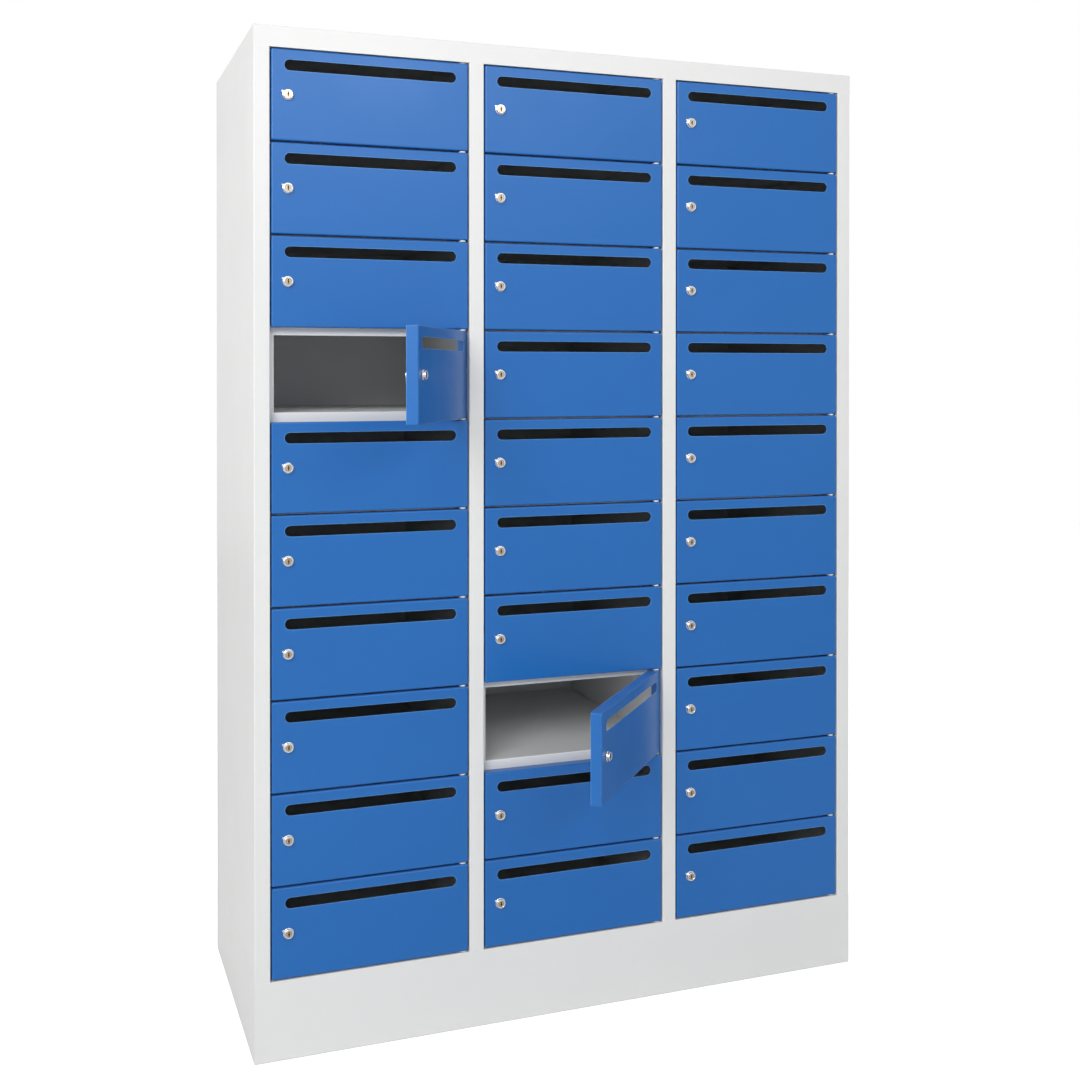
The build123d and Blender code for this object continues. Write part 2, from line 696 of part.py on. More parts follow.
def save_doors():
    """Writes every door where it hangs. The doors that stand open have their lock's pieces as nodes."""
    leaf = door_leaf()
    housing = lock_housing()
    nut = lock_nut()
    plug = lock_plug()
    cam, cam_screw = lock_cam()
    for column, column_name in enumerate(COLUMN_NAMES):
        for row in range(ROWS):
            turned = OPEN_DOORS.get((column, row), 0)
            place = Location((pin_x(column), PIN_Y, door_bottom(row)), (0, 0, turned))
            tag = f"{column_name}_{row + 1:02d}"
            if turned:
                save(leaf.moved(place), f"door_{tag}")
                save(housing.moved(place), f"lock_housing_{tag}")
                save(nut.moved(place), f"lock_nut_{tag}")
                save(plug.moved(place), f"lock_plug_{tag}")
                tongue = [cam.moved(place), cam_screw.moved(place)]
                save(Compound(children=tongue), f"lock_cam_{tag}")
            else:
                pieces = [piece.moved(place) for piece in (leaf, housing, nut, plug, cam, cam_screw)]
                save(Compound(children=pieces), f"door_{tag}")


def save_pair(piece, left_name, right_name):
    """Writes a left-hand piece and its mirror image."""
    save(piece.part, left_name)
    with BuildPart() as other:
        mirror(piece.part, about=Plane.YZ, mode=Mode.REPLACE)
    save(other.part, right_name)


os.makedirs("parts", exist_ok=True)
save_pair(side_panel(), "side_panel_left", "side_panel_right")
save(back_panel().part, "back_panel")
save(top_panel().part, "top_panel")
save(bottom_panel().part, "bottom_panel")
save(partition(0).part, "partition_left")
save(partition(1).part, "partition_right")
save(front_stile(0).part, "front_stile_left")
save(front_stile(1).part, "front_stile_right")
for index, side_name in enumerate(COLUMN_NAMES):
    save(shelves(index).part, f"shelves_{side_name}")
plinth = plinth_front()
save(plinth.part, "plinth_front")
with BuildPart() as plinth_back:
    mirror(plinth.part, about=Plane.XZ, mode=Mode.REPLACE)
save(plinth_back.part, "plinth_back")
save_pair(plinth_side(), "plinth_left", "plinth_right")
save(plinth_corners().part, "plinth_corners")
save(plinth_bolts(), "plinth_bolts")
save(back_rivets().part, "back_rivets")
save(hinge_lugs().part, "hinge_lugs")
save(hinge_pins().part, "hinge_pins")
save_doors()
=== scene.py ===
"""Looks for a steel mail locker: door pans, cam locks, hinges and fixings round its frame."""

from __future__ import annotations

import json
import logging
import math
from dataclasses import dataclass
from enum import Enum
from typing import Callable, Iterable

import bmesh
import bpy
from bmesh.types import BMesh
from bpy.types import Material, Mesh, Node, NodeSocket, NodeTree, Object, ShaderNodeTree
from mathutils import Matrix, Vector

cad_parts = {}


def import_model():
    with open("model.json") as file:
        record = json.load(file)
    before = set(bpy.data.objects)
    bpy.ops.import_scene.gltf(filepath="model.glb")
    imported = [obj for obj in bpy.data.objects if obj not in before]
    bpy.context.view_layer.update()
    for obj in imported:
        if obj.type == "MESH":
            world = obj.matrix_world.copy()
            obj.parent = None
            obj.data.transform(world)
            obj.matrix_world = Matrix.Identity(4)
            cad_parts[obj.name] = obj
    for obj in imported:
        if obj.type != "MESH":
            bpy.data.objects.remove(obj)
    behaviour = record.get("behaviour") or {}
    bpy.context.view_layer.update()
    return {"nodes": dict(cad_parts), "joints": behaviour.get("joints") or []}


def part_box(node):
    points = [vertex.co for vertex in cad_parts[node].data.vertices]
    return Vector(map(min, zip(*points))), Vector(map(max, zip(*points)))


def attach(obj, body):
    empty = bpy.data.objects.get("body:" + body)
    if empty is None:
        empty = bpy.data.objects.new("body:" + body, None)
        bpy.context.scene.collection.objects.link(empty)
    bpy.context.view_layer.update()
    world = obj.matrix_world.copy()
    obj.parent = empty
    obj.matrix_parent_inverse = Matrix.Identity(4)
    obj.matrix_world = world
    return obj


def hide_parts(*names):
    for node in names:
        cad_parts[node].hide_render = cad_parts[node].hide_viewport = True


LOG = logging.getLogger("mail_locker")
MM = 0.001
SHARP_ANGLE = math.radians(32)
BEVELLED_ANGLE = math.radians(60)
DOUBLES = 1e-7
Colour = tuple[float, float, float]
Point = tuple[float, float]
Outline = list[Point]


class Finish(Enum):
    """Every finish, with the record's material slot that it belongs to."""

    CABINET = ("light grey coat", "cabinet_grey")
    DOOR = ("blue coat", "door_blue")
    NICKEL = ("nickel", "lock_nickel")
    PLUG = ("warm nickel", "lock_nickel")
    ZINC = ("zinc", "zinc_plate")

    @property
    def slot(self) -> str:
        """The record's material slot."""
        return self.value[1]


# ---- Shader groups ----

# Cosines between the rounded and the true normal where the lighter edge starts and where it is
# full; on the powder coats this is a painted highlight along the folds.
BENT_COSINES = (0.995, 0.80)
# Upward parts of a normal where dust starts to lie and where it is full.
UPWARD_COSINES = (0.7, 1.0)
# Open shares of the surroundings where the painted recess shade starts and where it is full.
RECESS_LIGHT = (0.62, 0.30)
# Values that most of a noise lies between.
NOISE_SPREAD = (0.3, 0.7)
# The finer orange peel: its scale and its weight against the coarse one.
FINE_SCALE = 2.7
FINE_WEIGHT = 0.4
# Stretch and turn of the handling marks.
SCRATCH_STRETCH = (1.0, 1.0, 0.15)
SCRATCH_TURN = (0.3, 0.5, 0.2)


def new_shader_group(
    name: str, inputs: dict[str, float], outputs: Iterable[str]
) -> tuple[ShaderNodeTree, Node, Node]:
    """Makes an empty shader node group with float sockets.

    Args:
        name: The group's name.
        inputs: Input names and their default values.
        outputs: Output names.

    Returns:
        The tree, its input node and its output node.
    """
    tree = bpy.data.node_groups.new(name, "ShaderNodeTree")
    for label, value in inputs.items():
        socket = tree.interface.new_socket(label, in_out="INPUT", socket_type="NodeSocketFloat")
        socket.default_value = value
    for label in outputs:
        tree.interface.new_socket(label, in_out="OUTPUT", socket_type="NodeSocketFloat")
    return tree, tree.nodes.new("NodeGroupInput"), tree.nodes.new("NodeGroupOutput")


def add_math(
    tree: NodeTree,
    operation: str,
    first: NodeSocket,
    second: NodeSocket | float,
    clamp: bool = False,
) -> NodeSocket:
    """Adds a Math node.

    Args:
        tree: The tree to add it to.
        operation: The Math node's operation.
        first: Socket linked to the first value.
        second: Socket or number for the second value.
        clamp: Whether the result is kept from 0 to 1.

    Returns:
        The result socket.
    """
    node = tree.nodes.new("ShaderNodeMath")
    node.operation = operation
    node.use_clamp = clamp
    tree.links.new(first, node.inputs[0])
    if isinstance(second, NodeSocket):
        tree.links.new(second, node.inputs[1])
    else:
        node.inputs[1].default_value = second
    return node.outputs[0]


def add_noise(
    tree: NodeTree, scale: NodeSocket | float, detail: float, roughness: float = 0.5
) -> NodeSocket:
    """Adds a Noise Texture on Object coordinates.

    Args:
        tree: The tree to add it to.
        scale: Socket or number for the noise's scale, in features per metre.
        detail: Octaves of detail.
        roughness: Weight of the finer octaves.

    Returns:
        The noise's factor socket.
    """
    place = tree.nodes.new("ShaderNodeTexCoord")
    noise = tree.nodes.new("ShaderNodeTexNoise")
    tree.links.new(place.outputs["Object"], noise.inputs["Vector"])
    if isinstance(scale, NodeSocket):
        tree.links.new(scale, noise.inputs["Scale"])
    else:
        noise.inputs["Scale"].default_value = scale
    noise.inputs["Detail"].default_value = detail
    noise.inputs["Roughness"].default_value = roughness
    return noise.outputs[0]


def add_map(
    tree: NodeTree,
    value: NodeSocket,
    source: tuple[float, float],
    target: tuple[float, float] = (0.0, 1.0),
) -> NodeSocket:
    """Adds a Map Range node.

    Args:
        tree: The tree to add it to.
        value: Socket with the value to map.
        source: Values that give the target's first and second value.
        target: The two values they give.

    Returns:
        The mapped value's socket.
    """
    node = tree.nodes.new("ShaderNodeMapRange")
    limits = zip(("From Min", "From Max", "To Min", "To Max"), (*source, *target))
    for label, limit in limits:
        node.inputs[label].default_value = limit
    tree.links.new(value, node.inputs["Value"])
    return node.outputs["Result"]


def powder_grain_group() -> ShaderNodeTree:
    """Orange peel of a powder coat.

    Returns:
        A group with a fine Height and a broad Mottle output.
    """
    tree, inside, outside = new_shader_group(
        "powder_grain", {"Grain Scale": 900.0, "Mottle Scale": 6.0}, ("Height", "Mottle")
    )
    coarse = add_noise(tree, inside.outputs["Grain Scale"], 2.0)
    fine_scale = add_math(tree, "MULTIPLY", inside.outputs["Grain Scale"], FINE_SCALE)
    fine = add_noise(tree, fine_scale, 1.0)
    weighted = add_math(tree, "MULTIPLY", fine, FINE_WEIGHT)
    tree.links.new(add_math(tree, "ADD", coarse, weighted), outside.inputs["Height"])
    mottle = add_noise(tree, inside.outputs["Mottle Scale"], 3.0, 0.6)
    tree.links.new(mottle, outside.inputs["Mottle"])
    return tree


def edge_highlight_and_wear_group() -> ShaderNodeTree:
    """Lighter colour along folds and cut edges, broken up by noise; on the powder coats it is a
    painted highlight where the bends catch the lamps.

    Returns:
        A group with a Mask output, 1 where the edge is painted lighter.
    """
    tree, inside, outside = new_shader_group(
        "edge_wear", {"Radius": 0.0008, "Amount": 0.5, "Break Up Scale": 60.0}, ("Mask",)
    )
    bevel = tree.nodes.new("ShaderNodeBevel")
    bevel.samples = 4
    tree.links.new(inside.outputs["Radius"], bevel.inputs["Radius"])
    surface = tree.nodes.new("ShaderNodeNewGeometry")
    dot = tree.nodes.new("ShaderNodeVectorMath")
    dot.operation = "DOT_PRODUCT"
    tree.links.new(bevel.outputs["Normal"], dot.inputs[0])
    tree.links.new(surface.outputs["Normal"], dot.inputs[1])
    bent = add_map(tree, dot.outputs["Value"], BENT_COSINES)
    patches = add_noise(tree, inside.outputs["Break Up Scale"], 3.0, 0.6)
    broken = add_math(tree, "MULTIPLY", bent, patches)
    scaled = add_math(tree, "MULTIPLY", broken, inside.outputs["Amount"], clamp=True)
    tree.links.new(scaled, outside.inputs["Mask"])
    return tree


def settled_dust_group() -> ShaderNodeTree:
    """Dust that lies on faces turned upwards.

    Returns:
        A group with a Mask output.
    """
    tree, inside, outside = new_shader_group(
        "settled_dust", {"Amount": 0.3, "Patch Scale": 14.0}, ("Mask",)
    )
    surface = tree.nodes.new("ShaderNodeNewGeometry")
    split = tree.nodes.new("ShaderNodeSeparateXYZ")
    tree.links.new(surface.outputs["Normal"], split.inputs["Vector"])
    upward = add_map(tree, split.outputs["Z"], UPWARD_COSINES)
    patches = add_noise(tree, inside.outputs["Patch Scale"], 4.0, 0.6)
    lying = add_math(tree, "MULTIPLY", upward, patches)
    scaled = add_math(tree, "MULTIPLY", lying, inside.outputs["Amount"], clamp=True)
    tree.links.new(scaled, outside.inputs["Mask"])
    return tree


def metal_grain_group() -> ShaderNodeTree:
    """Fine handling marks on plated metal.

    Returns:
        A group with a Height and a Haze output.
    """
    tree, inside, outside = new_shader_group(
        "metal_grain", {"Scratch Scale": 500.0, "Haze Scale": 120.0}, ("Height", "Haze")
    )
    place = tree.nodes.new("ShaderNodeTexCoord")
    stretch = tree.nodes.new("ShaderNodeMapping")
    stretch.inputs["Scale"].default_value = SCRATCH_STRETCH
    stretch.inputs["Rotation"].default_value = SCRATCH_TURN
    tree.links.new(place.outputs["Object"], stretch.inputs["Vector"])
    lines = tree.nodes.new("ShaderNodeTexNoise")
    lines.inputs["Detail"].default_value = 3.0
    tree.links.new(stretch.outputs["Vector"], lines.inputs["Vector"])
    tree.links.new(inside.outputs["Scratch Scale"], lines.inputs["Scale"])
    tree.links.new(lines.outputs[0], outside.inputs["Height"])
    haze = add_noise(tree, inside.outputs["Haze Scale"], 3.0, 0.6)
    tree.links.new(haze, outside.inputs["Haze"])
    return tree


def recess_shade_group() -> ShaderNodeTree:
    """Painted shade deep in slots, holes and the keyway, darkened by local ambient occlusion.

    Returns:
        A group with a Mask output, 1 deep in a recess.
    """
    tree, inside, outside = new_shader_group(
        "recess_grime", {"Depth": 0.003, "Amount": 1.0}, ("Mask",)
    )
    cover = tree.nodes.new("ShaderNodeAmbientOcclusion")
    cover.samples = 8
    cover.only_local = True
    tree.links.new(inside.outputs["Depth"], cover.inputs["Distance"])
    hidden = add_map(tree, cover.outputs["AO"], RECESS_LIGHT)
    scaled = add_math(tree, "MULTIPLY", hidden, inside.outputs["Amount"], clamp=True)
    tree.links.new(scaled, outside.inputs["Mask"])
    return tree


GROUP_MAKERS: dict[str, Callable[[], ShaderNodeTree]] = {
    "powder_grain": powder_grain_group,
    "edge_wear": edge_highlight_and_wear_group,
    "settled_dust": settled_dust_group,
    "metal_grain": metal_grain_group,
    "recess_grime": recess_shade_group,
}


def place_group(tree: NodeTree, name: str, **values: float) -> Node:
    """Places a shared shader group in a material, making the group on first use.

    Args:
        tree: The material's node tree.
        name: The group's name.
        **values: Input values, with spaces in the names written as underscores.

    Returns:
        The group's node.
    """
    shared = bpy.data.node_groups.get(name) or GROUP_MAKERS[name]()
    node = tree.nodes.new("ShaderNodeGroup")
    node.node_tree = shared
    for label, value in values.items():
        node.inputs[label.replace("_", " ")].default_value = value
    return node


def mix_colour(
    tree: NodeTree,
    factor: NodeSocket,
    first: NodeSocket | Colour,
    second: Colour,
) -> NodeSocket:
    """Mixes two colours by a mask.

    Args:
        tree: The material's node tree.
        factor: The mask, 0 for the first colour.
        first: Socket or colour shown where the mask is 0.
        second: Colour shown where the mask is 1.

    Returns:
        The mixed colour's socket.
    """
    mix = tree.nodes.new("ShaderNodeMix")
    mix.data_type = "RGBA"
    low = next(s for s in mix.inputs if s.identifier == "A_Color")
    high = next(s for s in mix.inputs if s.identifier == "B_Color")
    share = next(s for s in mix.inputs if s.identifier == "Factor_Float")
    tree.links.new(factor, share)
    if isinstance(first, NodeSocket):
        tree.links.new(first, low)
    else:
        low.default_value = (*first, 1.0)
    high.default_value = (*second, 1.0)
    return next(s for s in mix.outputs if s.identifier == "Result_Color")


def add_bump(
    tree: NodeTree,
    shader: Node,
    height: NodeSocket,
    strength: float,
    distance: float,
) -> None:
    """Feeds a height into a shader's Normal through a Bump node.

    Args:
        tree: The material's node tree.
        shader: The Principled BSDF.
        height: The height socket.
        strength: Strength of the bump.
        distance: Depth of the bump in metres.
    """
    bump = tree.nodes.new("ShaderNodeBump")
    bump.inputs["Strength"].default_value = strength
    bump.inputs["Distance"].default_value = distance
    tree.links.new(height, bump.inputs["Height"])
    tree.links.new(bump.outputs["Normal"], shader.inputs["Normal"])


def new_material(name: str) -> tuple[Material, NodeTree, Node]:
    """Makes a node material.

    Args:
        name: The material's name.

    Returns:
        The material, its tree and its Principled BSDF.
    """
    material = bpy.data.materials.new(name)
    material.use_nodes = True
    tree = material.node_tree
    shader = next(n for n in tree.nodes if n.type == "BSDF_PRINCIPLED")
    return material, tree, shader


@dataclass(frozen=True)
class PowderCoat:
    """Baked powder coat on sheet steel."""

    name: str
    colour: Colour
    deep_colour: Colour
    bend_highlight_colour: Colour
    roughness: float
    highlight_and_wear: float
    dust: float
    grain_scale: float = 850.0
    grain_depth: float = 0.00006
    dust_colour: Colour = (0.62, 0.61, 0.58)
    highlight_and_wear_radius: float = 0.0008
    dust_dulling: float = 0.3
    bump: float = 0.22

    def build(self) -> Material:
        """Makes the material.

        Returns:
            The finished material.
        """
        material, tree, shader = new_material(self.name)
        grain = place_group(tree, "powder_grain", Grain_Scale=self.grain_scale)
        highlight_and_wear = place_group(tree, "edge_wear", Amount=self.highlight_and_wear, Radius=self.highlight_and_wear_radius)
        dust = place_group(tree, "settled_dust", Amount=self.dust)
        mottled = mix_colour(tree, grain.outputs["Mottle"], self.colour, self.deep_colour)
        # Lighter coat along folds and cut edges: a painted highlight.
        highlighted = mix_colour(tree, highlight_and_wear.outputs["Mask"], mottled, self.bend_highlight_colour)
        dusty = mix_colour(tree, dust.outputs["Mask"], highlighted, self.dust_colour)
        tree.links.new(dusty, shader.inputs["Base Color"])
        limits = (self.roughness - 0.03, self.roughness + 0.04)
        rough = add_map(tree, grain.outputs["Mottle"], NOISE_SPREAD, limits)
        dull = add_math(tree, "MULTIPLY", dust.outputs["Mask"], self.dust_dulling)
        tree.links.new(add_math(tree, "ADD", rough, dull), shader.inputs["Roughness"])
        add_bump(tree, shader, grain.outputs["Height"], self.bump, self.grain_depth)
        return material


@dataclass(frozen=True)
class PlatedMetal:
    """Nickel or zinc plate with fine handling marks."""

    name: str
    colour: Colour
    hazed_colour: Colour
    roughness: float
    scratch_scale: float
    scratch_depth: float
    highlight_and_wear: float = 0.6
    highlight_and_wear_radius: float = 0.0004
    edge_lightening_scale: float = 400.0
    recess_shade_colour: Colour = (0.03, 0.025, 0.02)
    recess_shade_depth: float = 0.003
    bright_colour: Colour = (0.95, 0.95, 0.94)
    haze_roughness: float = 0.12
    bump: float = 0.15

    def build(self) -> Material:
        """Makes the material.

        Returns:
            The finished material.
        """
        material, tree, shader = new_material(self.name)
        grain = place_group(tree, "metal_grain", Scratch_Scale=self.scratch_scale)
        highlight_and_wear = place_group(tree, "edge_wear", Radius=self.highlight_and_wear_radius, Amount=self.highlight_and_wear)
        highlight_and_wear.inputs["Break Up Scale"].default_value = self.edge_lightening_scale
        hazed = mix_colour(tree, grain.outputs["Haze"], self.colour, self.hazed_colour)
        # Lighter metal along the edges.
        bright = mix_colour(tree, highlight_and_wear.outputs["Mask"], hazed, self.bright_colour)
        # Near-black colour in the keyway and other recesses: painted shade.
        recess_shade_node = place_group(tree, "recess_grime", Depth=self.recess_shade_depth)
        with_recess_shade = mix_colour(tree, recess_shade_node.outputs["Mask"], bright, self.recess_shade_colour)
        tree.links.new(with_recess_shade, shader.inputs["Base Color"])
        shader.inputs["Metallic"].default_value = 1.0
        limits = (self.roughness, self.roughness + self.haze_roughness)
        rough = add_map(tree, grain.outputs["Haze"], NOISE_SPREAD, limits)
        tree.links.new(rough, shader.inputs["Roughness"])
        add_bump(tree, shader, grain.outputs["Height"], self.bump, self.scratch_depth)
        return material


FINISHES: dict[Finish, PowderCoat | PlatedMetal] = {
    Finish.CABINET: PowderCoat(
        name="light_grey_powder_coat",
        colour=(0.760, 0.765, 0.755),
        deep_colour=(0.725, 0.730, 0.722),
        # Near-white along the folds: a painted highlight.
        bend_highlight_colour=(0.90, 0.90, 0.89),
        roughness=0.42,
        highlight_and_wear=1.0,
        dust=0.25,
        highlight_and_wear_radius=0.0015,
    ),
    Finish.DOOR: PowderCoat(
        name="blue_powder_coat",
        colour=(0.005, 0.130, 0.440),
        deep_colour=(0.003, 0.116, 0.405),
        # Light blue along the folds: a painted highlight on the bends.
        bend_highlight_colour=(0.16, 0.42, 0.84),
        roughness=0.34,
        highlight_and_wear=1.6,
        dust=0.12,
        highlight_and_wear_radius=0.0022,
    ),
    Finish.NICKEL: PlatedMetal(
        name="nickel_plate",
        colour=(0.82, 0.80, 0.78),
        hazed_colour=(0.72, 0.70, 0.68),
        roughness=0.12,
        scratch_scale=1500.0,
        scratch_depth=0.00003,
    ),
    Finish.PLUG: PlatedMetal(
        name="warm_nickel_plate",
        colour=(0.54, 0.47, 0.36),
        hazed_colour=(0.45, 0.38, 0.29),
        roughness=0.2,
        scratch_scale=1500.0,
        scratch_depth=0.00003,
    ),
    Finish.ZINC: PlatedMetal(
        name="zinc_plate",
        colour=(0.66, 0.67, 0.69),
        hazed_colour=(0.56, 0.58, 0.60),
        roughness=0.32,
        scratch_scale=900.0,
        scratch_depth=0.00004,
    ),
}


# ---- Mesh tools ----


def link_mesh(name: str, mesh: Mesh) -> Object:
    """Links a new object for a mesh to the scene.

    Args:
        name: The object's name.
        mesh: Its mesh.

    Returns:
        The object, at the origin.
    """
    made = bpy.data.objects.new(name, mesh)
    bpy.context.scene.collection.objects.link(made)
    return made


def mesh_from(name: str, build: Callable[[BMesh], None]) -> Object:
    """Runs a function on an empty BMesh and links the result.

    Args:
        name: The object's name.
        build: Function that fills the BMesh.

    Returns:
        The object, with its faces turned outwards.
    """
    work = bmesh.new()
    build(work)
    bmesh.ops.remove_doubles(work, verts=work.verts, dist=DOUBLES)
    bmesh.ops.recalc_face_normals(work, faces=work.faces)
    mesh = bpy.data.meshes.new(name)
    work.to_mesh(mesh)
    work.free()
    return link_mesh(name, mesh)


def drop(thing: Object) -> None:
    """Removes an object and its mesh."""
    mesh = thing.data
    bpy.data.objects.remove(thing)
    if mesh is not None and mesh.users == 0:
        bpy.data.meshes.remove(mesh)


def settle(thing: Object) -> Object:
    """Turns an object's modifiers into a plain mesh.

    Args:
        thing: The object with modifiers.

    Returns:
        The same object with its evaluated mesh and no modifiers.
    """
    bpy.context.view_layer.update()
    graph = bpy.context.evaluated_depsgraph_get()
    done = bpy.data.meshes.new_from_object(
        thing.evaluated_get(graph), preserve_all_data_layers=True, depsgraph=graph
    )
    before = thing.data
    thing.modifiers.clear()
    thing.data = done
    done.name = thing.name
    if before.users == 0:
        bpy.data.meshes.remove(before)
    return thing


def combine(body: Object, operation: str, *others: Object) -> Object:
    """Combines closed meshes and removes the added ones.

    Args:
        body: The object that is kept.
        operation: DIFFERENCE, UNION or INTERSECT.
        *others: Closed shapes to combine with it.

    Returns:
        The combined object.
    """
    for other in others:
        step = body.modifiers.new("combine", "BOOLEAN")
        step.operation = operation
        step.solver = "EXACT"
        step.object = other
    settle(body)
    for other in others:
        drop(other)
    return body


def cut_away(body: Object, *cutters: Object) -> Object:
    """Cuts closed shapes out of a mesh and removes them."""
    return combine(body, "DIFFERENCE", *cutters)


def soften(body: Object, width: float, segments: int = 2) -> Object:
    """Breaks sharp edges with a small bevel and shades the result.

    Args:
        body: The object to finish.
        width: Bevel width in metres, or 0 for no bevel.
        segments: Segments across the bevel.

    Returns:
        The finished object.
    """
    body.data.shade_smooth()
    body.data.set_sharp_from_angle(angle=SHARP_ANGLE)
    if width > 0:
        bevel = body.modifiers.new("edges", "BEVEL")
        bevel.width = width
        bevel.segments = segments
        bevel.limit_method = "ANGLE"
        bevel.angle_limit = SHARP_ANGLE
        bevel.use_clamp_overlap = True
        settle(body)
        body.data.set_sharp_from_angle(angle=BEVELLED_ANGLE)
    weigh = body.modifiers.new("normals", "WEIGHTED_NORMAL")
    weigh.keep_sharp = True
    weigh.weight = 100
    return settle(body)


def join_meshes(name: str, parts: list[Object]) -> Object:
    """Joins objects at the origin into one, keeping their materials.

    Args:
        name: Name of the joined object.
        parts: Objects to join. They are used up.

    Returns:
        The joined object.
    """
    with bpy.context.temp_override(
        active_object=parts[0], selected_editable_objects=parts, selected_objects=parts
    ):
        bpy.ops.object.join()
    joined = parts[0]
    joined.name = name
    joined.data.name = name
    return joined


def paint(thing: Object, material: Material) -> Object:
    """Gives an object one material."""
    thing.data.materials.clear()
    thing.data.materials.append(material)
    return thing


def hand_over(
    piece: Object, material: Material, body: str, nodes: Iterable[str]
) -> None:
    """Paints a finished piece and gives it to the frame.

    Args:
        piece: The piece.
        material: Its material.
        body: Body it rides on.
        nodes: CAD nodes it stands for.
    """
    paint(piece, material)
    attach(piece, body)
    if nodes:
        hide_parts(*nodes)
    LOG.info("%s: %d faces", piece.name, len(piece.data.polygons))


def loft_rings(work: BMesh, rings: list[list[Vector]], closed: bool) -> None:
    """Joins rings of equal length with quads.

    Args:
        work: The BMesh to add to.
        rings: Rings of points.
        closed: Whether the last ring joins the first; otherwise both ends are capped.
    """
    made = [[work.verts.new(point) for point in ring] for ring in rings]
    pairs = list(zip(made, made[1:]))
    if closed:
        pairs.append((made[-1], made[0]))
    for low, high in pairs:
        for index in range(len(low)):
            after = (index + 1) % len(low)
            work.faces.new((low[index], low[after], high[after], high[index]))
    if not closed:
        work.faces.new(made[0])
        work.faces.new(list(reversed(made[-1])))


def turned(name: str, profile: Outline, segments: int, closed: bool = True) -> Object:
    """Turns a profile round the Y axis.

    Args:
        name: The object's name.
        profile: (radius, y) points in metres.
        segments: Segments round the axis.
        closed: Whether the profile closes on itself, as on a ring; otherwise both ends are capped.

    Returns:
        The turned object.
    """
    steps = [2 * math.pi * index / segments for index in range(segments)]
    rings = [
        [Vector((radius * math.cos(angle), y, radius * math.sin(angle))) for angle in steps]
        for radius, y in profile
    ]
    return mesh_from(name, lambda work: loft_rings(work, rings, closed))


def arc_points(
    centre: Point, radius: float, start: float, end: float, segments: int
) -> Outline:
    """Points along an arc.

    Args:
        centre: The arc's centre.
        radius: Its radius.
        start: First angle in degrees.
        end: Last angle in degrees.
        segments: Number of segments.

    Returns:
        The points, first and last included.
    """
    angles = [math.radians(start + (end - start) * step / segments) for step in range(segments + 1)]
    return [(centre[0] + radius * math.cos(a), centre[1] + radius * math.sin(a)) for a in angles]


def prism(
    name: str, outline: Outline, low: float, high: float
) -> Object:
    """Extrudes an (x, z) outline along Y.

    Args:
        name: The object's name.
        outline: Points of the outline, in order.
        low: Y of the first face.
        high: Y of the last face.

    Returns:
        The prism.
    """
    rings = [[Vector((x, y, z)) for x, z in outline] for y in (low, high)]
    return mesh_from(name, lambda work: loft_rings(work, rings, False))


def tapered_outline(
    first: Point, first_radius: float, second: Point, second_radius: float
) -> Outline:
    """Outline round two circles, as of a tongue.

    Args:
        first: Centre of the first circle.
        first_radius: Its radius.
        second: Centre of the second circle.
        second_radius: Its radius.

    Returns:
        Points of the outline.
    """
    run = Vector(second) - Vector(first)
    heading = math.degrees(math.atan2(run.y, run.x))
    spread = math.degrees(math.acos((first_radius - second_radius) / run.length))
    around_first = arc_points(first, first_radius, heading + spread, heading + 360 - spread, 18)
    around_second = arc_points(second, second_radius, heading - spread, heading + spread, 12)
    return around_first + around_second


def slot_outline(
    centre: Point, length: float, height: float, steps: int = 12
) -> Outline:
    """Outline of a slot with round ends.

    Args:
        centre: Middle of the slot.
        length: Overall length along X.
        height: Height along Z.
        steps: Segments round each end.

    Returns:
        Points of the outline.
    """
    radius = height / 2
    reach = length / 2 - radius
    right = arc_points((centre[0] + reach, centre[1]), radius, -90, 90, steps)
    left = arc_points((centre[0] - reach, centre[1]), radius, 90, 270, steps)
    return right + left


def corner_reach(flats: float) -> float:
    """Distance from a hexagon's middle to its corners, given its width across flats."""
    return flats / 2 / math.cos(math.radians(30))


def hexagon(flats: float) -> Outline:
    """Corners of a regular hexagon, given its width across flats."""
    return arc_points((0.0, 0.0), corner_reach(flats), 0, 300, 5)


def rectangle(half_x: float, half_z: float) -> Outline:
    """Corners of a rectangle about the origin."""
    return [(-half_x, -half_z), (half_x, -half_z), (half_x, half_z), (-half_x, half_z)]


def moved_copy(source: Object, name: str, place: Matrix) -> Object:
    """Copies an object's mesh to a place, leaving the copy's object at the origin.

    Args:
        source: The object to copy.
        name: The copy's name.
        place: Where the copy's mesh goes.

    Returns:
        The copy.
    """
    mesh = source.data.copy()
    mesh.name = name
    mesh.transform(place)
    return link_mesh(name, mesh)


# ---- Geometry Nodes ----


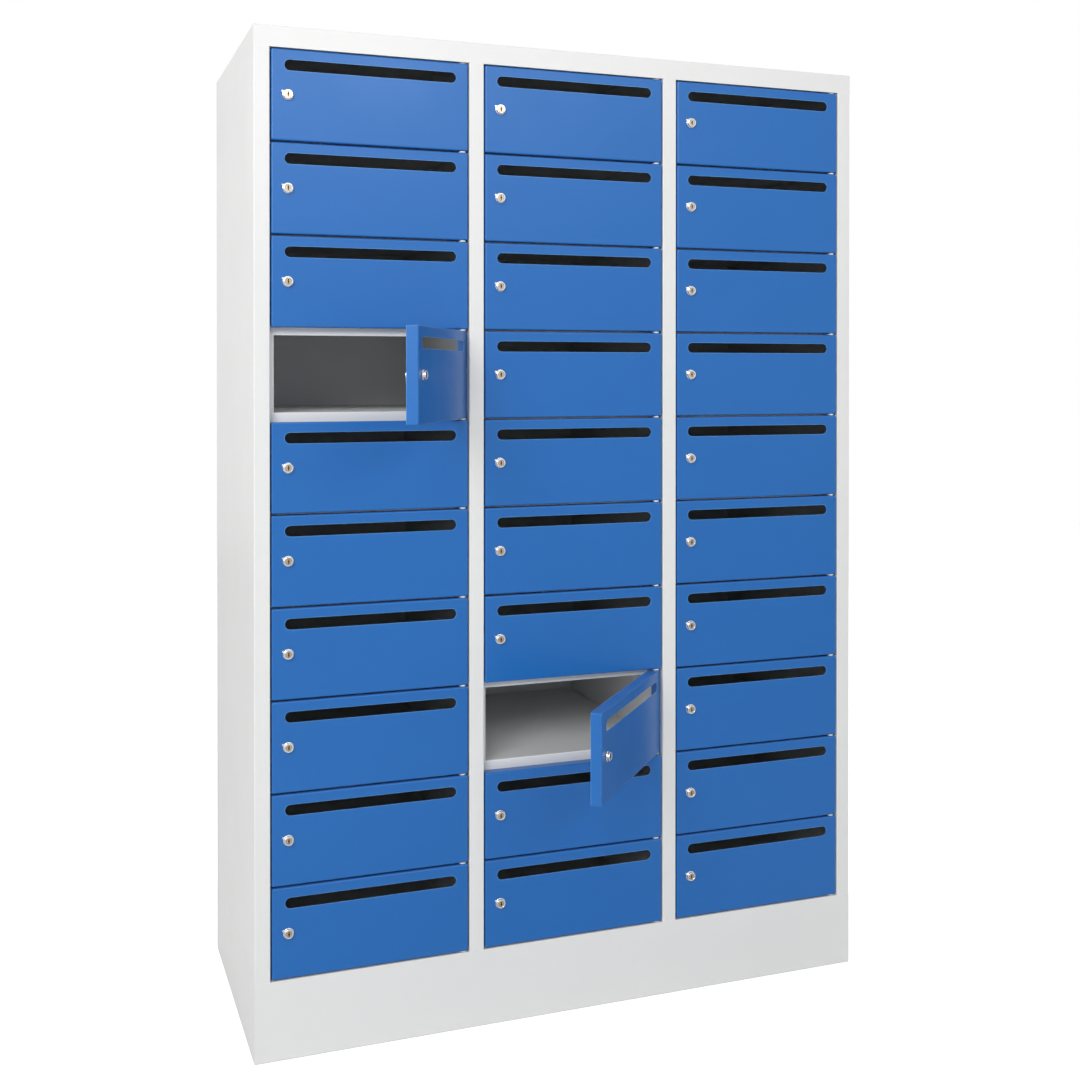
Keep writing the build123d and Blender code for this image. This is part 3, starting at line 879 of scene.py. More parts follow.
def item_placer() -> NodeTree:
    """Tree that sets one item at every vertex of the mesh it is on.

    Returns:
        The tree, with inputs Item, Finish, Stretch, Turn Axis, Turn Spread and Seed.
    """
    found = bpy.data.node_groups.get("item_placer")
    if found:
        return found
    tree = bpy.data.node_groups.new("item_placer", "GeometryNodeTree")
    sockets = (
        ("Spots", "NodeSocketGeometry", None),
        ("Item", "NodeSocketObject", None),
        ("Finish", "NodeSocketMaterial", None),
        ("Stretch", "NodeSocketVector", (1.0, 1.0, 1.0)),
        ("Turn Axis", "NodeSocketVector", (0.0, 1.0, 0.0)),
        ("Turn Spread", "NodeSocketFloat", 0.0),
        ("Seed", "NodeSocketInt", 7),
    )
    for label, kind, value in sockets:
        socket = tree.interface.new_socket(name=label, in_out="INPUT", socket_type=kind)
        if value is not None:
            socket.default_value = value
    tree.interface.new_socket(name="Items", in_out="OUTPUT", socket_type="NodeSocketGeometry")
    inside = tree.nodes.new("NodeGroupInput")
    outside = tree.nodes.new("NodeGroupOutput")
    item = tree.nodes.new("GeometryNodeObjectInfo")
    spread = tree.nodes.new("FunctionNodeRandomValue")
    spread.data_type = "FLOAT"
    turn = tree.nodes.new("FunctionNodeAxisAngleToRotation")
    place = tree.nodes.new("GeometryNodeInstanceOnPoints")
    real = tree.nodes.new("GeometryNodeRealizeInstances")
    finish = tree.nodes.new("GeometryNodeSetMaterial")
    link = tree.links.new
    link(inside.outputs["Item"], item.inputs["Object"])
    link(inside.outputs["Spots"], place.inputs["Points"])
    link(item.outputs["Geometry"], place.inputs["Instance"])
    link(inside.outputs["Stretch"], place.inputs["Scale"])
    float_sockets = [s for s in spread.inputs if s.type == "VALUE" and s.name in ("Min", "Max")]
    float_sockets[0].default_value = 0.0
    link(inside.outputs["Turn Spread"], float_sockets[1])
    link(inside.outputs["Seed"], spread.inputs["Seed"])
    link(inside.outputs["Turn Axis"], turn.inputs["Axis"])
    link(next(s for s in spread.outputs if s.type == "VALUE" and s.enabled), turn.inputs["Angle"])
    link(turn.outputs["Rotation"], place.inputs["Rotation"])
    link(place.outputs["Instances"], real.inputs["Geometry"])
    link(real.outputs["Geometry"], finish.inputs["Geometry"])
    link(inside.outputs["Finish"], finish.inputs["Material"])
    link(finish.outputs["Geometry"], outside.inputs["Items"])
    return tree


def place_items(
    name: str,
    item: Object,
    spots: list[Vector],
    material: Material,
    **values: object,
) -> Object:
    """Sets copies of an item at a list of spots with Geometry Nodes, as one plain mesh.

    Args:
        name: Name of the result.
        item: The item, modelled about the origin. It stays in the file.
        spots: Where each copy goes.
        material: Material of every copy.
        **values: Other inputs of the tree, with spaces in the names written as underscores.

    Returns:
        The object with all the copies.
    """
    mesh = bpy.data.meshes.new(name)
    mesh.from_pydata([tuple(spot) for spot in spots], [], [])
    made = link_mesh(name, mesh)
    tree = item_placer()
    identifiers = {
        s.name: s.identifier for s in tree.interface.items_tree if s.item_type == "SOCKET"
    }
    modifier = made.modifiers.new("items", "NODES")
    modifier.node_group = tree
    modifier[identifiers["Item"]] = item
    modifier[identifiers["Finish"]] = material
    for label, value in values.items():
        modifier[identifiers[label.replace("_", " ")]] = value
    return settle(made)


# ---- Where the doors hang ----


@dataclass(frozen=True)
class Hang:
    """Where one door hangs: its hinge axis, at the middle of the door's height, and its turn."""

    tag: str
    place: Matrix
    turn_degrees: float

    @property
    def body(self) -> str:
        """Body that the door rides on."""
        return f"door_{self.tag}"

    @property
    def rotor(self) -> str:
        """Body that the lock's plug and cam ride on."""
        return f"lock_rotor_{self.tag}" if self.turn_degrees else self.body


def read_hangs(joints: list[dict]) -> list[Hang]:
    """Reads each door's place from its hinge.

    Args:
        joints: The frame's joints.

    Returns:
        One Hang for each door.
    """
    hangs = []
    for joint in joints:
        if not joint["name"].startswith("hinge_"):
            continue
        turn_degrees = -joint["range_deg"][0]
        place = Matrix.Translation(joint["pos_m"]) @ Matrix.Rotation(
            math.radians(turn_degrees), 4, "Z"
        )
        hangs.append(Hang(joint["name"].removeprefix("hinge_"), place, turn_degrees))
    return hangs


# ---- Doors ----


@dataclass
class DoorLeaf:
    """Pan folded from one sheet, about the hinge axis, with its slot, holes and relief."""

    width: float
    height: float
    depth: float = 0.020
    sheet: float = 0.001
    corner: float = 0.003
    bend: float = 0.0028
    bend_steps: int = 5
    slot_height: float = 0.019
    slot_margin: float = 0.023
    slot_drop: float = 0.0275
    lock_inset: float = 0.0287
    lock_hole: float = 0.0081
    pin_inset: float = 0.009
    pin_setback: float = 0.0065
    pin_hole: float = 0.00255
    hinge_relief: float = 0.002
    cut_edge: float = 0.00022

    @property
    def lock_x(self) -> float:
        """X of the lock's axis."""
        return self.pin_inset - self.width + self.lock_inset

    @property
    def middle_x(self) -> float:
        """X of the door's middle."""
        return self.pin_inset - self.width / 2

    def ring(self, inset: float, behind: float) -> list[Vector]:
        """One rounded rectangle round the pan.

        Args:
            inset: Distance in from the door's edge.
            behind: Distance behind the door's face.

        Returns:
            The ring's points.
        """
        radius = self.corner - inset
        reach_x = self.width / 2 - self.corner
        reach_z = self.height / 2 - self.corner
        outline: Outline = []
        for start, side_x, side_z in ((0, 1, 1), (90, -1, 1), (180, -1, -1), (270, 1, -1)):
            centre = (self.middle_x + side_x * reach_x, side_z * reach_z)
            outline += arc_points(centre, radius, start, start + 90, self.bend_steps)
        return [Vector((x, behind - self.pin_setback, z)) for x, z in outline]

    def pan(self) -> Object:
        """Folded pan without its openings, as one closed wall."""
        steps = range(self.bend_steps + 1)
        turns = [math.radians(90 * step / self.bend_steps) for step in steps]
        inner_bend = self.bend - self.sheet
        bends = [(math.sin(turn), math.cos(turn)) for turn in turns]
        section = [(self.bend - inner_bend * s, self.bend - inner_bend * c) for s, c in bends]
        section += [(self.sheet, self.depth), (0.0, self.depth)]
        section += [(self.bend - self.bend * c, self.bend - self.bend * s) for s, c in bends]
        rings = [self.ring(inset, behind) for inset, behind in section]
        return mesh_from("pan", lambda work: loft_rings(work, rings, False))

    def build(self) -> Object:
        """Makes the finished leaf.

        Returns:
            The leaf, with its hinge axis on Z and the middle of its height at z = 0.
        """
        front = -self.pin_setback
        slot_z = self.height / 2 - self.slot_drop
        slot = prism(
            "slot",
            slot_outline(
                (self.middle_x, slot_z), self.width - 2 * self.slot_margin, self.slot_height
            ),
            front - self.sheet,
            front + 3 * self.sheet,
        )
        hole = prism(
            "hole",
            arc_points((self.lock_x, 0.0), self.lock_hole, 0, 350, 35),
            front - self.sheet,
            front + 3 * self.sheet,
        )
        pin_line = [(self.pin_hole, -self.height), (self.pin_hole, self.height)]
        pins = turned("pins", pin_line, 24, False)
        pins.data.transform(Matrix.Rotation(math.radians(90), 4, "X"))
        relief_front = front + self.depth - self.hinge_relief
        relief = prism(
            "relief",
            [
                (-self.sheet, -self.height),
                (self.pin_inset + self.sheet, -self.height),
                (self.pin_inset + self.sheet, self.height),
                (-self.sheet, self.height),
            ],
            relief_front,
            relief_front + self.depth,
        )
        leaf = cut_away(self.pan(), slot, hole, pins, relief)
        return soften(leaf, self.cut_edge, 1)


@dataclass
class CamLock:
    """Cam lock on its axis: the lock's axis along Y at the origin, the door's face at y = 0."""

    head_radius: float = 0.0095
    rosette: float = 0.002
    collar_radius: float = 0.0083
    proud: float = 0.0065
    round_edge: float = 0.0008
    barrel_radius: float = 0.008
    barrel_end: float = 0.0237
    thread_pitch: float = 0.001
    thread_depth: float = 0.0003
    plug_radius: float = 0.006
    plug_clearance: float = 0.00005
    plug_recess: float = 0.0004
    keyway_width: float = 0.0018
    keyway_height: float = 0.008
    keyway_eye: float = 0.0016
    keyway_depth: float = 0.014
    pointer_degrees: float = 150.0
    pointer_root_reach: float = 0.006
    pointer_root_radius: float = 0.0032
    pointer_tip_reach: float = 0.011
    pointer_tip_radius: float = 0.0016
    door_sheet: float = 0.001
    nut_flats: float = 0.022
    nut_thickness: float = 0.004
    cam_front: float = 0.024
    cam_thickness: float = 0.002
    cam_boss_radius: float = 0.008
    cam_tip_radius: float = 0.0055
    cam_reach: float = 0.030
    tail_side: float = 0.007
    screw_head_radius: float = 0.0045
    screw_head: float = 0.0025
    cross_depth: float = 0.0012
    cross_arm_share: float = 0.55
    cross_half_width: float = 0.00045
    chamfer: float = 0.0003
    pointer_sink: float = 0.0001
    pointer_rise: float = 0.00001
    nut_clearance: float = 0.00005
    tail_clearance: float = 0.00005
    segments: int = 40

    def rounded(
        self, radius: float, y: float, outward: int, steps: int = 4
    ) -> Outline:
        """Quarter-round edge of a turned profile.

        Args:
            radius: Radius of the cylinder it rounds.
            y: Y of the flat face it meets.
            outward: 1 where the profile runs from the cylinder to the face, -1 the other way.
            steps: Segments of the rounding.

        Returns:
            Points of the edge.
        """
        centre = (radius - self.round_edge, y + self.round_edge)
        points = arc_points(centre, self.round_edge, 0, -90, steps)
        return points if outward > 0 else list(reversed(points))

    def thread(self) -> Outline:
        """Profile of the barrel's thread, from its back end to the door."""
        crest = self.barrel_radius
        root = self.barrel_radius - self.thread_depth
        count = int((self.barrel_end - self.door_sheet) / self.thread_pitch) - 1
        points = [(root, self.barrel_end)]
        for index in range(count):
            back = self.barrel_end - (index + 0.25) * self.thread_pitch
            points += [
                (root, back),
                (crest, back - 0.4 * self.thread_pitch),
                (crest, back - 0.6 * self.thread_pitch),
            ]
        return points

    def housing(self) -> Object:
        """Round head with its pointer, and the threaded barrel.

        Returns:
            The housing.
        """
        bore = self.plug_radius + self.plug_clearance
        lip = 0.5 * self.round_edge
        profile = self.thread()
        profile += [(self.barrel_radius, 0.0), (self.head_radius, 0.0)]
        profile += self.rounded(self.head_radius, -self.rosette, 1)
        profile += [(self.collar_radius + self.chamfer, -self.rosette)]
        profile += [(self.collar_radius, -self.rosette - self.chamfer)]
        profile += self.rounded(self.collar_radius, -self.proud, 1)
        profile += [(bore + lip, -self.proud), (bore, -self.proud + lip), (bore, self.barrel_end)]
        body = turned("housing", profile, self.segments)
        angle = math.radians(self.pointer_degrees)
        heading = Vector((math.cos(angle), math.sin(angle)))
        outline = tapered_outline(
            tuple(heading * self.pointer_root_reach),
            self.pointer_root_radius,
            tuple(heading * self.pointer_tip_reach),
            self.pointer_tip_radius,
        )
        pointer = prism("pointer", outline, -self.rosette + self.pointer_sink, -self.pointer_rise)
        bore_plug = turned("bore", [(bore, -self.proud), (bore, self.proud)], self.segments, False)
        cut_away(pointer, bore_plug)
        soften(pointer, self.chamfer, 2)
        return soften(combine(body, "UNION", pointer), 0.0)

    def plug(self) -> Object:
        """Turning plug with its keyway and its square tail.

        Returns:
            The plug.
        """
        face = -self.proud + self.plug_recess
        body = turned(
            "plug",
            [
                (self.plug_radius - self.chamfer, face),
                (self.plug_radius, face + self.chamfer),
                (self.plug_radius, self.barrel_end),
            ],
            self.segments,
            False,
        )
        half_height = self.keyway_height / 2
        half_width = self.keyway_width / 2
        steps = math.degrees(math.asin(half_width / self.keyway_eye))
        keyway = arc_points((0.0, 0.0), self.keyway_eye, -90 + steps, 90 - steps, 8)
        keyway += [(half_width, half_height), (-half_width, half_height)]
        keyway += arc_points((0.0, 0.0), self.keyway_eye, 90 + steps, 270 - steps, 8)
        keyway += [(-half_width, -half_height), (half_width, -half_height)]
        cut_away(body, prism("keyway", keyway, face - MM, face + self.keyway_depth))
        half = self.tail_side / 2
        tail = prism(
            "tail",
            rectangle(half, half),
            self.barrel_end - MM,
            self.cam_front + self.cam_thickness,
        )
        return soften(combine(body, "UNION", tail), 0.12 * MM, 1)

    def nut(self) -> Object:
        """Hexagon nut with chamfered corners.

        Returns:
            The nut.
        """
        low = self.door_sheet
        high = low + self.nut_thickness
        corner = corner_reach(self.nut_flats)
        flat = self.nut_flats / 2
        slope = 0.5 * (corner - flat)
        body = prism("nut", hexagon(self.nut_flats), low, high)
        turned_shape = turned(
            "chamfer",
            [(flat, low), (corner, low + slope), (corner, high - slope), (flat, high)],
            self.segments,
            False,
        )
        combine(body, "INTERSECT", turned_shape)
        bore = self.barrel_radius + self.nut_clearance
        cut_away(body, turned("bore", [(bore, low - MM), (bore, high + MM)], self.segments, False))
        return soften(body, 0.15 * MM, 1)

    def cam(self) -> Object:
        """Flat tongue hanging from the axis, with the screw that holds it.

        Returns:
            The cam and its screw.
        """
        low = self.cam_front
        high = low + self.cam_thickness
        tip = (0.0, -self.cam_reach + self.cam_tip_radius)
        outline = tapered_outline((0.0, 0.0), self.cam_boss_radius, tip, self.cam_tip_radius)
        body = prism("cam", outline, low, high)
        half = self.tail_side / 2 + self.tail_clearance
        cut_away(body, prism("square", rectangle(half, half), low - MM, high + MM))
        soften(body, 0.2 * MM, 2)
        top = high + self.screw_head
        edge = self.round_edge
        head = turned(
            "screw",
            [(self.screw_head_radius, high), (self.screw_head_radius, top - edge)]
            + arc_points((self.screw_head_radius - edge, top - edge), edge, 30, 90, 3)
            + [(0.5 * self.screw_head_radius, top)],
            self.segments,
            False,
        )
        arm = self.cross_arm_share * self.screw_head_radius
        blade = self.cross_half_width
        cross = [
            prism("cross", rectangle(a, b), top - self.cross_depth, top + MM)
            for a, b in ((arm, blade), (blade, arm))
        ]
        cut_away(head, *cross)
        soften(head, 0.1 * MM, 1)
        return join_meshes("cam", [body, head])


@dataclass
class Doors:
    """Every door with its lock."""

    hangs: list[Hang]
    leaf: DoorLeaf
    lock: CamLock
    materials: dict[Finish, Material]

    def build(self) -> None:
        """Makes every door leaf and lock."""
        leaf = self.leaf.build()
        parts = {
            "housing": (self.lock.housing(), Finish.NICKEL),
            "nut": (self.lock.nut(), Finish.ZINC),
            "plug": (self.lock.plug(), Finish.PLUG),
            "cam": (self.lock.cam(), Finish.ZINC),
        }
        to_lock = Matrix.Translation((self.leaf.lock_x, -self.leaf.pin_setback, 0.0))
        for hang in self.hangs:
            piece = moved_copy(leaf, f"leaf_{hang.tag}", hang.place)
            door = self.materials[Finish.DOOR]
            hand_over(piece, door, hang.body, [f"door_{hang.tag}"])
            for kind, (source, finish) in parts.items():
                body = hang.rotor if kind in ("plug", "cam") else hang.body
                nodes = [f"lock_{kind}_{hang.tag}"] if hang.turn_degrees else []
                name = f"fitted_{kind}_{hang.tag}"
                piece = moved_copy(source, name, hang.place @ to_lock)
                hand_over(piece, self.materials[finish], body, nodes)
        for source in [leaf] + [source for source, _ in parts.values()]:
            drop(source)


# ---- Small hardware on the cabinet ----


@dataclass
class Hardware:
    """Hinge lugs and pins, rivets and plinth bolts."""

    hangs: list[Hang]
    materials: dict[Finish, Material]
    door_height: float
    front: float
    back: float
    pin_inset: float = 0.009
    stop_setback: float = 0.022
    row_gap: float = 0.0035
    end_gap: float = 0.0025
    lug_width: float = 0.013
    lug_setback: float = 0.002
    lug_clearance: float = 0.0005
    pin_radius: float = 0.0025
    pin_reach: float = 0.006
    pin_edge: float = 0.4 * MM
    pin_play: float = 0.01 * MM
    lug_edge: float = 0.3 * MM
    sheet: float = 0.001
    plinth_sheet: float = 0.0015
    rivet_inset: float = 0.010
    bolt_edge: float = 0.5 * MM

    def hinge_spots(self) -> dict[str, list[Vector]]:
        """Middle of every gap on each hinge line, sorted by the kind of gap.

        Returns:
            Spots for the gaps at the top, between the doors and at the bottom.
        """
        columns: dict[float, list[Vector]] = {}
        for hang in self.hangs:
            pin = hang.place.translation
            columns.setdefault(round(pin.x, 5), []).append(pin)
        spots: dict[str, list[Vector]] = {"top": [], "between": [], "bottom": []}
        half = self.door_height / 2
        for pins in columns.values():
            pins.sort(key=lambda pin: pin.z)
            lowest, highest = pins[0], pins[-1]
            spots["bottom"].append(lowest - Vector((0, 0, half + self.end_gap / 2)))
            spots["top"].append(highest + Vector((0, 0, half + self.end_gap / 2)))
            spots["between"] += [pin + Vector((0, 0, half + self.row_gap / 2)) for pin in pins[:-1]]
        return spots

    def fit(self, piece: Object, finish: Finish, node: str) -> None:
        """Gives a piece of cabinet hardware to the frame."""
        hand_over(piece, self.materials[finish], "cabinet", [node])

    def lugs(self) -> None:
        """Round-nosed lugs in the gaps on each hinge line."""
        spots = self.hinge_spots()
        pin_y = spots["top"][0].y
        nose = self.front + self.lug_setback + self.lug_width / 2 - pin_y
        radius = self.lug_width / 2
        tail = self.front + self.stop_setback - pin_y
        thickness = self.row_gap - 2 * self.lug_clearance
        round_nose = arc_points((0.0, nose), radius, 0, -180, 16)
        outline = [(-radius, tail), *reversed(round_nose), (radius, tail)]
        lug = prism("lug", outline, -thickness / 2, thickness / 2)
        lug.data.transform(Matrix(((1, 0, 0, 0), (0, 0, 1, 0), (0, 1, 0, 0), (0, 0, 0, 1))))
        lug.data.flip_normals()
        bore = turned("bore", [(self.pin_radius, -0.01), (self.pin_radius, 0.01)], 20, False)
        bore.data.transform(Matrix.Rotation(math.radians(90), 4, "X"))
        soften(cut_away(lug, bore), self.lug_edge, 2)
        thin = (self.end_gap - 2 * self.lug_clearance) / thickness
        material = self.materials[Finish.CABINET]
        parts = [
            place_items("lugs", lug, spots["between"], material),
            place_items(
                "lugs_end", lug, spots["top"] + spots["bottom"], material, Stretch=(1.0, 1.0, thin)
            ),
        ]
        drop(lug)
        self.fit(join_meshes("hinge_lug_plates", parts), Finish.CABINET, "hinge_lugs")

    def pin(self, low: float, high: float) -> Object:
        """One upright hinge pin with chamfered ends.

        Args:
            low: Z of its lower end.
            high: Z of its upper end.

        Returns:
            The pin.
        """
        edge = self.pin_edge
        radius = self.pin_radius - self.pin_play
        profile = [
            (radius - edge, -high),
            (radius, -high + edge),
            (radius, -low - edge),
            (radius - edge, -low),
        ]
        made = turned("pin", profile, 20, False)
        made.data.transform(Matrix.Rotation(math.radians(-90), 4, "X"))
        return soften(made, 0.0)

    def pins(self) -> None:
        """Hinge pins through the lugs."""
        spots = self.hinge_spots()
        inner = self.row_gap / 2 + self.pin_reach
        outer = self.end_gap / 2 + self.pin_reach
        short = self.end_gap / 2 - self.lug_clearance
        kinds = {"between": (-inner, inner), "top": (-outer, short), "bottom": (-short, outer)}
        parts = []
        for kind, (low, high) in kinds.items():
            item = self.pin(low, high)
            zinc = self.materials[Finish.ZINC]
            parts.append(place_items(f"pins_{kind}", item, spots[kind], zinc))
            drop(item)
        self.fit(join_meshes("hinge_pin_rods", parts), Finish.ZINC, "hinge_pins")

    def rivets(self, node: str = "back_rivets", pitch: float = 0.2, margin: float = 0.045) -> None:
        """Blind rivets along the back panel's edges and partitions.

        Args:
            node: The CAD node they stand for.
            pitch: Longest distance between two rivets.
            margin: Distance from the panel's ends.
        """
        low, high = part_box("back_panel")
        count = math.ceil((high.z - low.z - 2 * margin) / pitch)
        first = low.z + margin
        step = (high.z - low.z - 2 * margin) / count
        edge_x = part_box("side_panel_right")[1].x - self.rivet_inset
        sides = ("left", "right")
        inner_x = [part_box(f"partition_{side}")[1].x - self.rivet_inset for side in sides]
        heads = [(x, self.back) for x in (-edge_x, edge_x)]
        heads += [(x, self.back - self.sheet) for x in inner_x]
        spots = [
            Vector((x, y, first + step * index)) for x, y in heads for index in range(count + 1)
        ]
        head, shank, bulb = 0.00325, 0.0016, 0.0023
        inside = -2 * self.sheet
        rim, dome = 0.7 * MM, 0.35 * MM
        slope, bulb_end, tail = 0.2 * MM, 2.4 * MM, 3.0 * MM
        mandrel = [(0.4 * MM, 0.75 * MM), (0.9 * MM, 0.6 * MM), (1.1 * MM, 1.05 * MM)]
        profile = mandrel + arc_points((head - rim, dome), rim, 80, 0, 4)
        profile += [(head, 0.0), (shank, 0.0), (shank, inside)]
        profile += [(bulb, inside - slope), (bulb, inside - bulb_end), (shank, inside - tail)]
        rivet = soften(turned("rivet", profile, 20, False), 0.0)
        placed = place_items(
            "panel_rivets",
            rivet,
            spots,
            self.materials[Finish.ZINC],
            Turn_Spread=2 * math.pi,
            Seed=11,
        )
        drop(rivet)
        self.fit(placed, Finish.ZINC, node)

    def bolts(self, node: str = "plinth_bolts") -> None:
        """Hexagon bolts and nuts between the cabinet and its plinth.

        Args:
            node: The CAD node they stand for.
        """
        low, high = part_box(node)
        flats, head, length, nut, radius = 0.010, 0.004, 0.014, 0.005, 0.003
        corner = corner_reach(flats)
        under_head = high.z - head
        plinth_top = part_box("plinth_front")[1].z
        nut_top = plinth_top - self.plinth_sheet - under_head
        parts = []
        for bottom, top in ((0.0, head), (nut_top - nut, nut_top)):
            blank = prism("hex", hexagon(flats), bottom, top)
            slope = 0.5 * (corner - flats / 2)
            shape = turned(
                "chamfer",
                [(corner, bottom), (corner, top - slope), (flats / 2, top)],
                24,
                False,
            )
            parts.append(soften(combine(blank, "INTERSECT", shape), 0.1 * MM, 1))
        shank = turned(
            "shank",
            [(radius, 0.0), (radius, -length + self.bolt_edge), (radius - self.bolt_edge, -length)],
            20,
            False,
        )
        parts.append(soften(shank, 0.0))
        bolt = join_meshes("bolt", parts)
        bolt.data.transform(Matrix.Rotation(math.radians(90), 4, "X"))
        reach_y = (high.y - low.y) / 2 - flats / 2
        reach_x = (high.x - low.x) / 2 - corner
        spots = [
            Vector((i * reach_x, j * reach_y, under_head)) for i in (-1, 1) for j in (-1, 1)
        ]
        placed = place_items(
            "foot_bolts",
            bolt,
            spots,
            self.materials[Finish.ZINC],
            Turn_Axis=(0.0, 0.0, 1.0),
            Turn_Spread=math.pi,
            Seed=3,
        )
        drop(bolt)
        self.fit(placed, Finish.ZINC, node)

    def build(self) -> None:
        """Makes all the small hardware."""
        self.lugs()
        self.pins()
        self.rivets()
        self.bolts()


# ---- Sheet work ----


@dataclass
class SheetWork:
    """Panels, stiles, shelves, partitions and plinth."""

    nodes: dict[str, Object]
    material: Material
    refined: tuple[str, ...] = (
        "side_panel_left",
        "side_panel_right",
        "top_panel",
        "bottom_panel",
        "front_stile_left",
        "front_stile_right",
        "shelves_left",
        "shelves_middle",
        "shelves_right",
        "partition_left",
        "partition_right",
        "back_panel",
        "plinth_front",
        "plinth_back",
        "plinth_left",
        "plinth_right",
        "plinth_corners",
    )
    panel_seam: float = 0.45 * MM
    plinth_seam: float = 1.2 * MM
    reach: float = 0.01 * MM
    doubles: float = 1e-6
    flat_angle: float = math.radians(1)
    cut_edge: float = 0.18 * MM

    def near(self, first: float, second: float) -> bool:
        """Whether two coordinates are the same within the reach."""
        return abs(first - second) < self.reach

    def open_seams(self, work: BMesh, width: float) -> None:
        """Breaks the outer edges where the side panels meet the plinth and the roof's front rail.

        Args:
            work: A sheet's mesh, with its doubles merged.
            width: How far the broken edge reaches.
        """
        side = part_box("top_panel")[1].x
        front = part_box("top_panel")[0].y
        plinth_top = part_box("plinth_left")[1].z
        stile_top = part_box("front_stile_left")[1].z
        seams = [
            edge
            for edge in work.edges
            if all(
                (self.near(abs(vert.co.x), side) and self.near(vert.co.z, plinth_top))
                or (self.near(vert.co.y, front) and self.near(vert.co.z, stile_top))
                for vert in edge.verts
            )
        ]
        if seams:
            bmesh.ops.bevel(work, geom=seams, offset=width, segments=1, affect="EDGES")

    def refine(self, node: str) -> None:
        """Stands a merged copy with softened cut edges in for a sheet's CAD node.

        Args:
            node: The sheet's CAD node.
        """
        mesh = self.nodes[node].data.copy()
        mesh.name = f"sheet_{node}"
        work = bmesh.new()
        work.from_mesh(mesh)
        bmesh.ops.remove_doubles(work, verts=work.verts, dist=self.doubles)
        bmesh.ops.dissolve_limit(
            work, angle_limit=self.flat_angle, verts=work.verts, edges=work.edges
        )
        if node in ("side_panel_left", "side_panel_right"):
            self.open_seams(work, self.panel_seam)
        if node in ("plinth_left", "plinth_right"):
            self.open_seams(work, self.plinth_seam)
        work.to_mesh(mesh)
        work.free()
        piece = soften(link_mesh(f"sheet_{node}", mesh), self.cut_edge, 1)
        hand_over(piece, self.material, "cabinet", [node])

    def build(self) -> None:
        """Refines every sheet."""
        for node in self.refined:
            self.refine(node)


# ---- Studio ----


@dataclass(frozen=True)
class AreaLight:
    """One soft studio light."""

    name: str
    place: tuple[float, float, float]
    target: tuple[float, float, float]
    size: tuple[float, float]
    power: float
    colour: Colour = (1.0, 1.0, 1.0)

    def build(self) -> None:
        """Adds the light to the scene."""
        data = bpy.data.lights.new(self.name, "AREA")
        data.shape = "RECTANGLE"
        data.size, data.size_y = self.size
        data.energy = self.power
        data.color = self.colour
        lamp = bpy.data.objects.new(self.name, data)
        lamp.location = self.place
        heading = Vector(self.target) - Vector(self.place)
        lamp.rotation_euler = heading.to_track_quat("-Z", "Y").to_euler()
        bpy.context.scene.collection.objects.link(lamp)


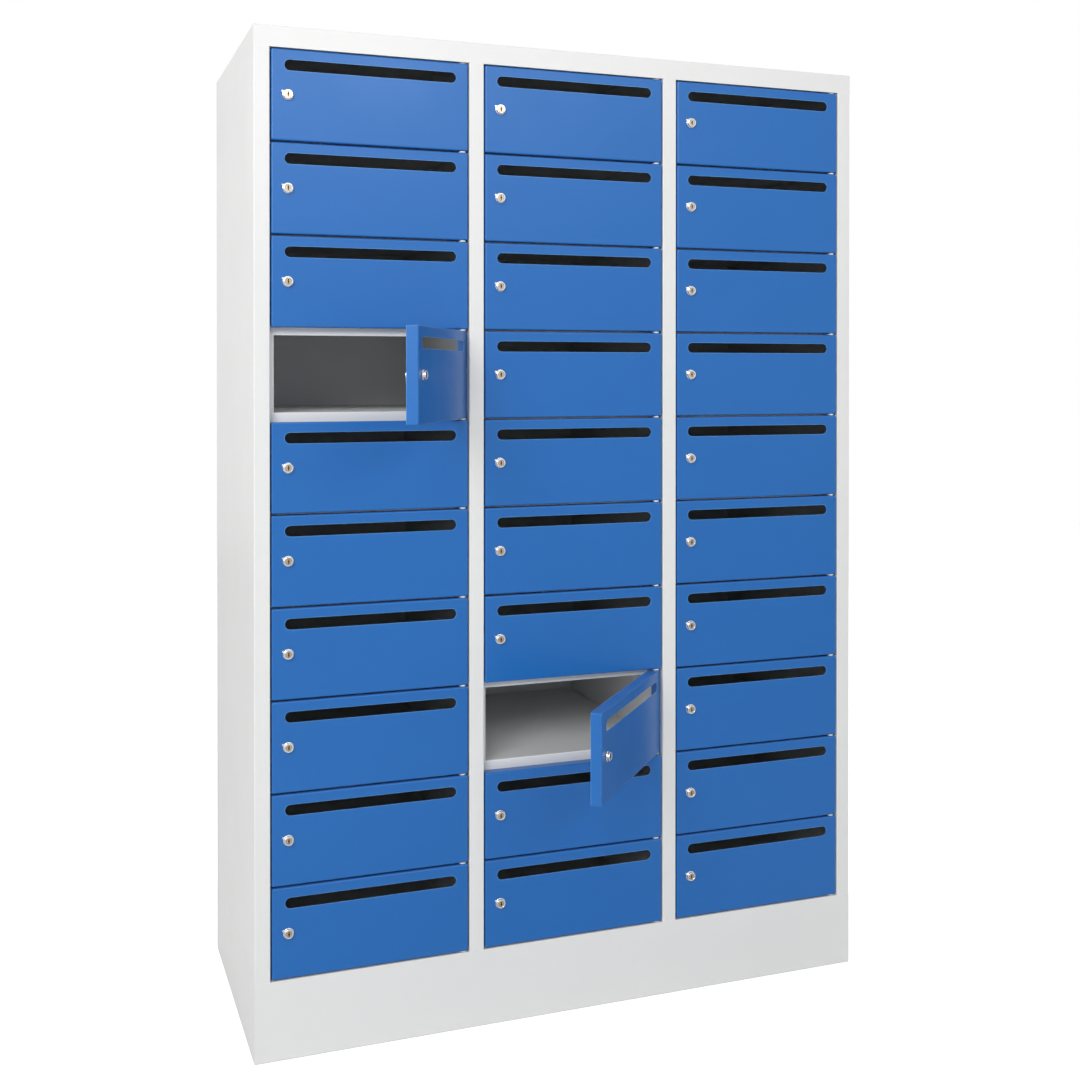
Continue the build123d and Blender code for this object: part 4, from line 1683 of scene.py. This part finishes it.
@dataclass(frozen=True)
class Studio:
    """Camera, lights, sky and floor."""

    camera_place: tuple[float, float, float] = (-0.9505, -2.5462, 1.1989)
    camera_pitch: float = 89.69
    camera_yaw: float = -19.66
    focal_length: float = 44.1
    shift: tuple[float, float] = (0.0274, -0.1486)
    sky_colour: Colour = (1.0, 1.0, 1.0)
    sky_strength: float = 0.47
    floor_colour: Colour = (0.78, 0.78, 0.78)
    floor_lift: float = 0.60
    floor_size: float = 14.0
    floor_roughness: float = 0.9
    floor_specular: float = 0.1
    lights: tuple[AreaLight, ...] = (
        AreaLight("key", (-2.7, -3.6, 3.1), (0.0, -0.2, 1.4), (2.2, 2.2), 120.0),
        AreaLight("front", (0.6, -4.4, 3.1), (0.0, -0.2, 1.5), (2.6, 1.0), 34.0),
        AreaLight("left", (-4.0, -0.5, 2.2), (-0.6, 0.0, 1.0), (0.6, 2.4), 23.0),
        AreaLight("back", (1.6, 4.2, 3.0), (0.2, 0.2, 1.0), (3.0, 2.0), 70.0),
    )

    def camera(self) -> None:
        """Adds the camera."""
        data = bpy.data.cameras.new("camera")
        data.lens = self.focal_length
        data.sensor_width = 36.0
        data.shift_x, data.shift_y = self.shift
        data.clip_end = 60.0
        seen = bpy.data.objects.new("camera", data)
        seen.location = self.camera_place
        seen.rotation_euler = (math.radians(self.camera_pitch), 0.0, math.radians(self.camera_yaw))
        bpy.context.scene.collection.objects.link(seen)
        bpy.context.scene.camera = seen

    def sky(self) -> None:
        """Makes the even white sky."""
        world = bpy.data.worlds.new("studio_sky")
        world.use_nodes = True
        tree = world.node_tree
        background = next(n for n in tree.nodes if n.type == "BACKGROUND")
        background.inputs["Color"].default_value = (*self.sky_colour, 1.0)
        ray = tree.nodes.new("ShaderNodeLightPath")
        direct = add_math(
            tree, "MAXIMUM", ray.outputs["Is Camera Ray"], ray.outputs["Is Glossy Ray"]
        )
        extra = add_math(tree, "MULTIPLY", direct, 1.0 - self.sky_strength)
        strength = add_math(tree, "ADD", extra, self.sky_strength)
        tree.links.new(strength, background.inputs["Strength"])
        bpy.context.scene.world = world

    def floor(self) -> None:
        """Makes the pale floor."""
        half = self.floor_size / 2
        corners = [(-half, -half, 0), (half, -half, 0), (half, half, 0), (-half, half, 0)]
        mesh = bpy.data.meshes.new("studio_floor")
        mesh.from_pydata(corners, [], [(0, 1, 2, 3)])
        floor = link_mesh("studio_floor", mesh)
        material, tree, shader = new_material("studio_floor")
        shader.inputs["Base Color"].default_value = (*self.floor_colour, 1.0)
        shader.inputs["Roughness"].default_value = self.floor_roughness
        shader.inputs["Specular IOR Level"].default_value = self.floor_specular
        shader.inputs["Emission Color"].default_value = (1.0, 1.0, 1.0, 1.0)
        ray = tree.nodes.new("ShaderNodeLightPath")
        lift = add_math(tree, "MULTIPLY", ray.outputs["Is Camera Ray"], self.floor_lift)
        tree.links.new(lift, shader.inputs["Emission Strength"])
        paint(floor, material)

    def build(self) -> None:
        """Makes the whole studio."""
        self.camera()
        self.sky()
        self.floor()
        for light in self.lights:
            light.build()
        bpy.context.scene.view_settings.view_transform = "Standard"
        LOG.info("studio: %d lights", len(self.lights))


def corners(box: tuple[Vector, Vector]) -> list[list[float]]:
    """A box's two corners as plain lists."""
    return [list(map(float, corner)) for corner in box]


def main() -> None:
    """Builds the locker's looks around its frame."""
    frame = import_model()
    materials = {finish: recipe.build() for finish, recipe in FINISHES.items()}
    hangs = read_hangs(frame["joints"])
    closed = next(hang for hang in hangs if not hang.turn_degrees)
    door_low, door_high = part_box(closed.body)
    leaf = DoorLeaf(width=door_high.x - door_low.x, height=door_high.z - door_low.z)
    side_low, side_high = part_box("side_panel_left")
    Studio().build()
    SheetWork(frame["nodes"], materials[Finish.CABINET]).build()
    Doors(hangs, leaf, CamLock(), materials).build()
    Hardware(hangs, materials, leaf.height, side_low.y, side_high.y).build()


if __name__ == "__main__":
    logging.basicConfig(level=logging.INFO, format="%(message)s")
    main()
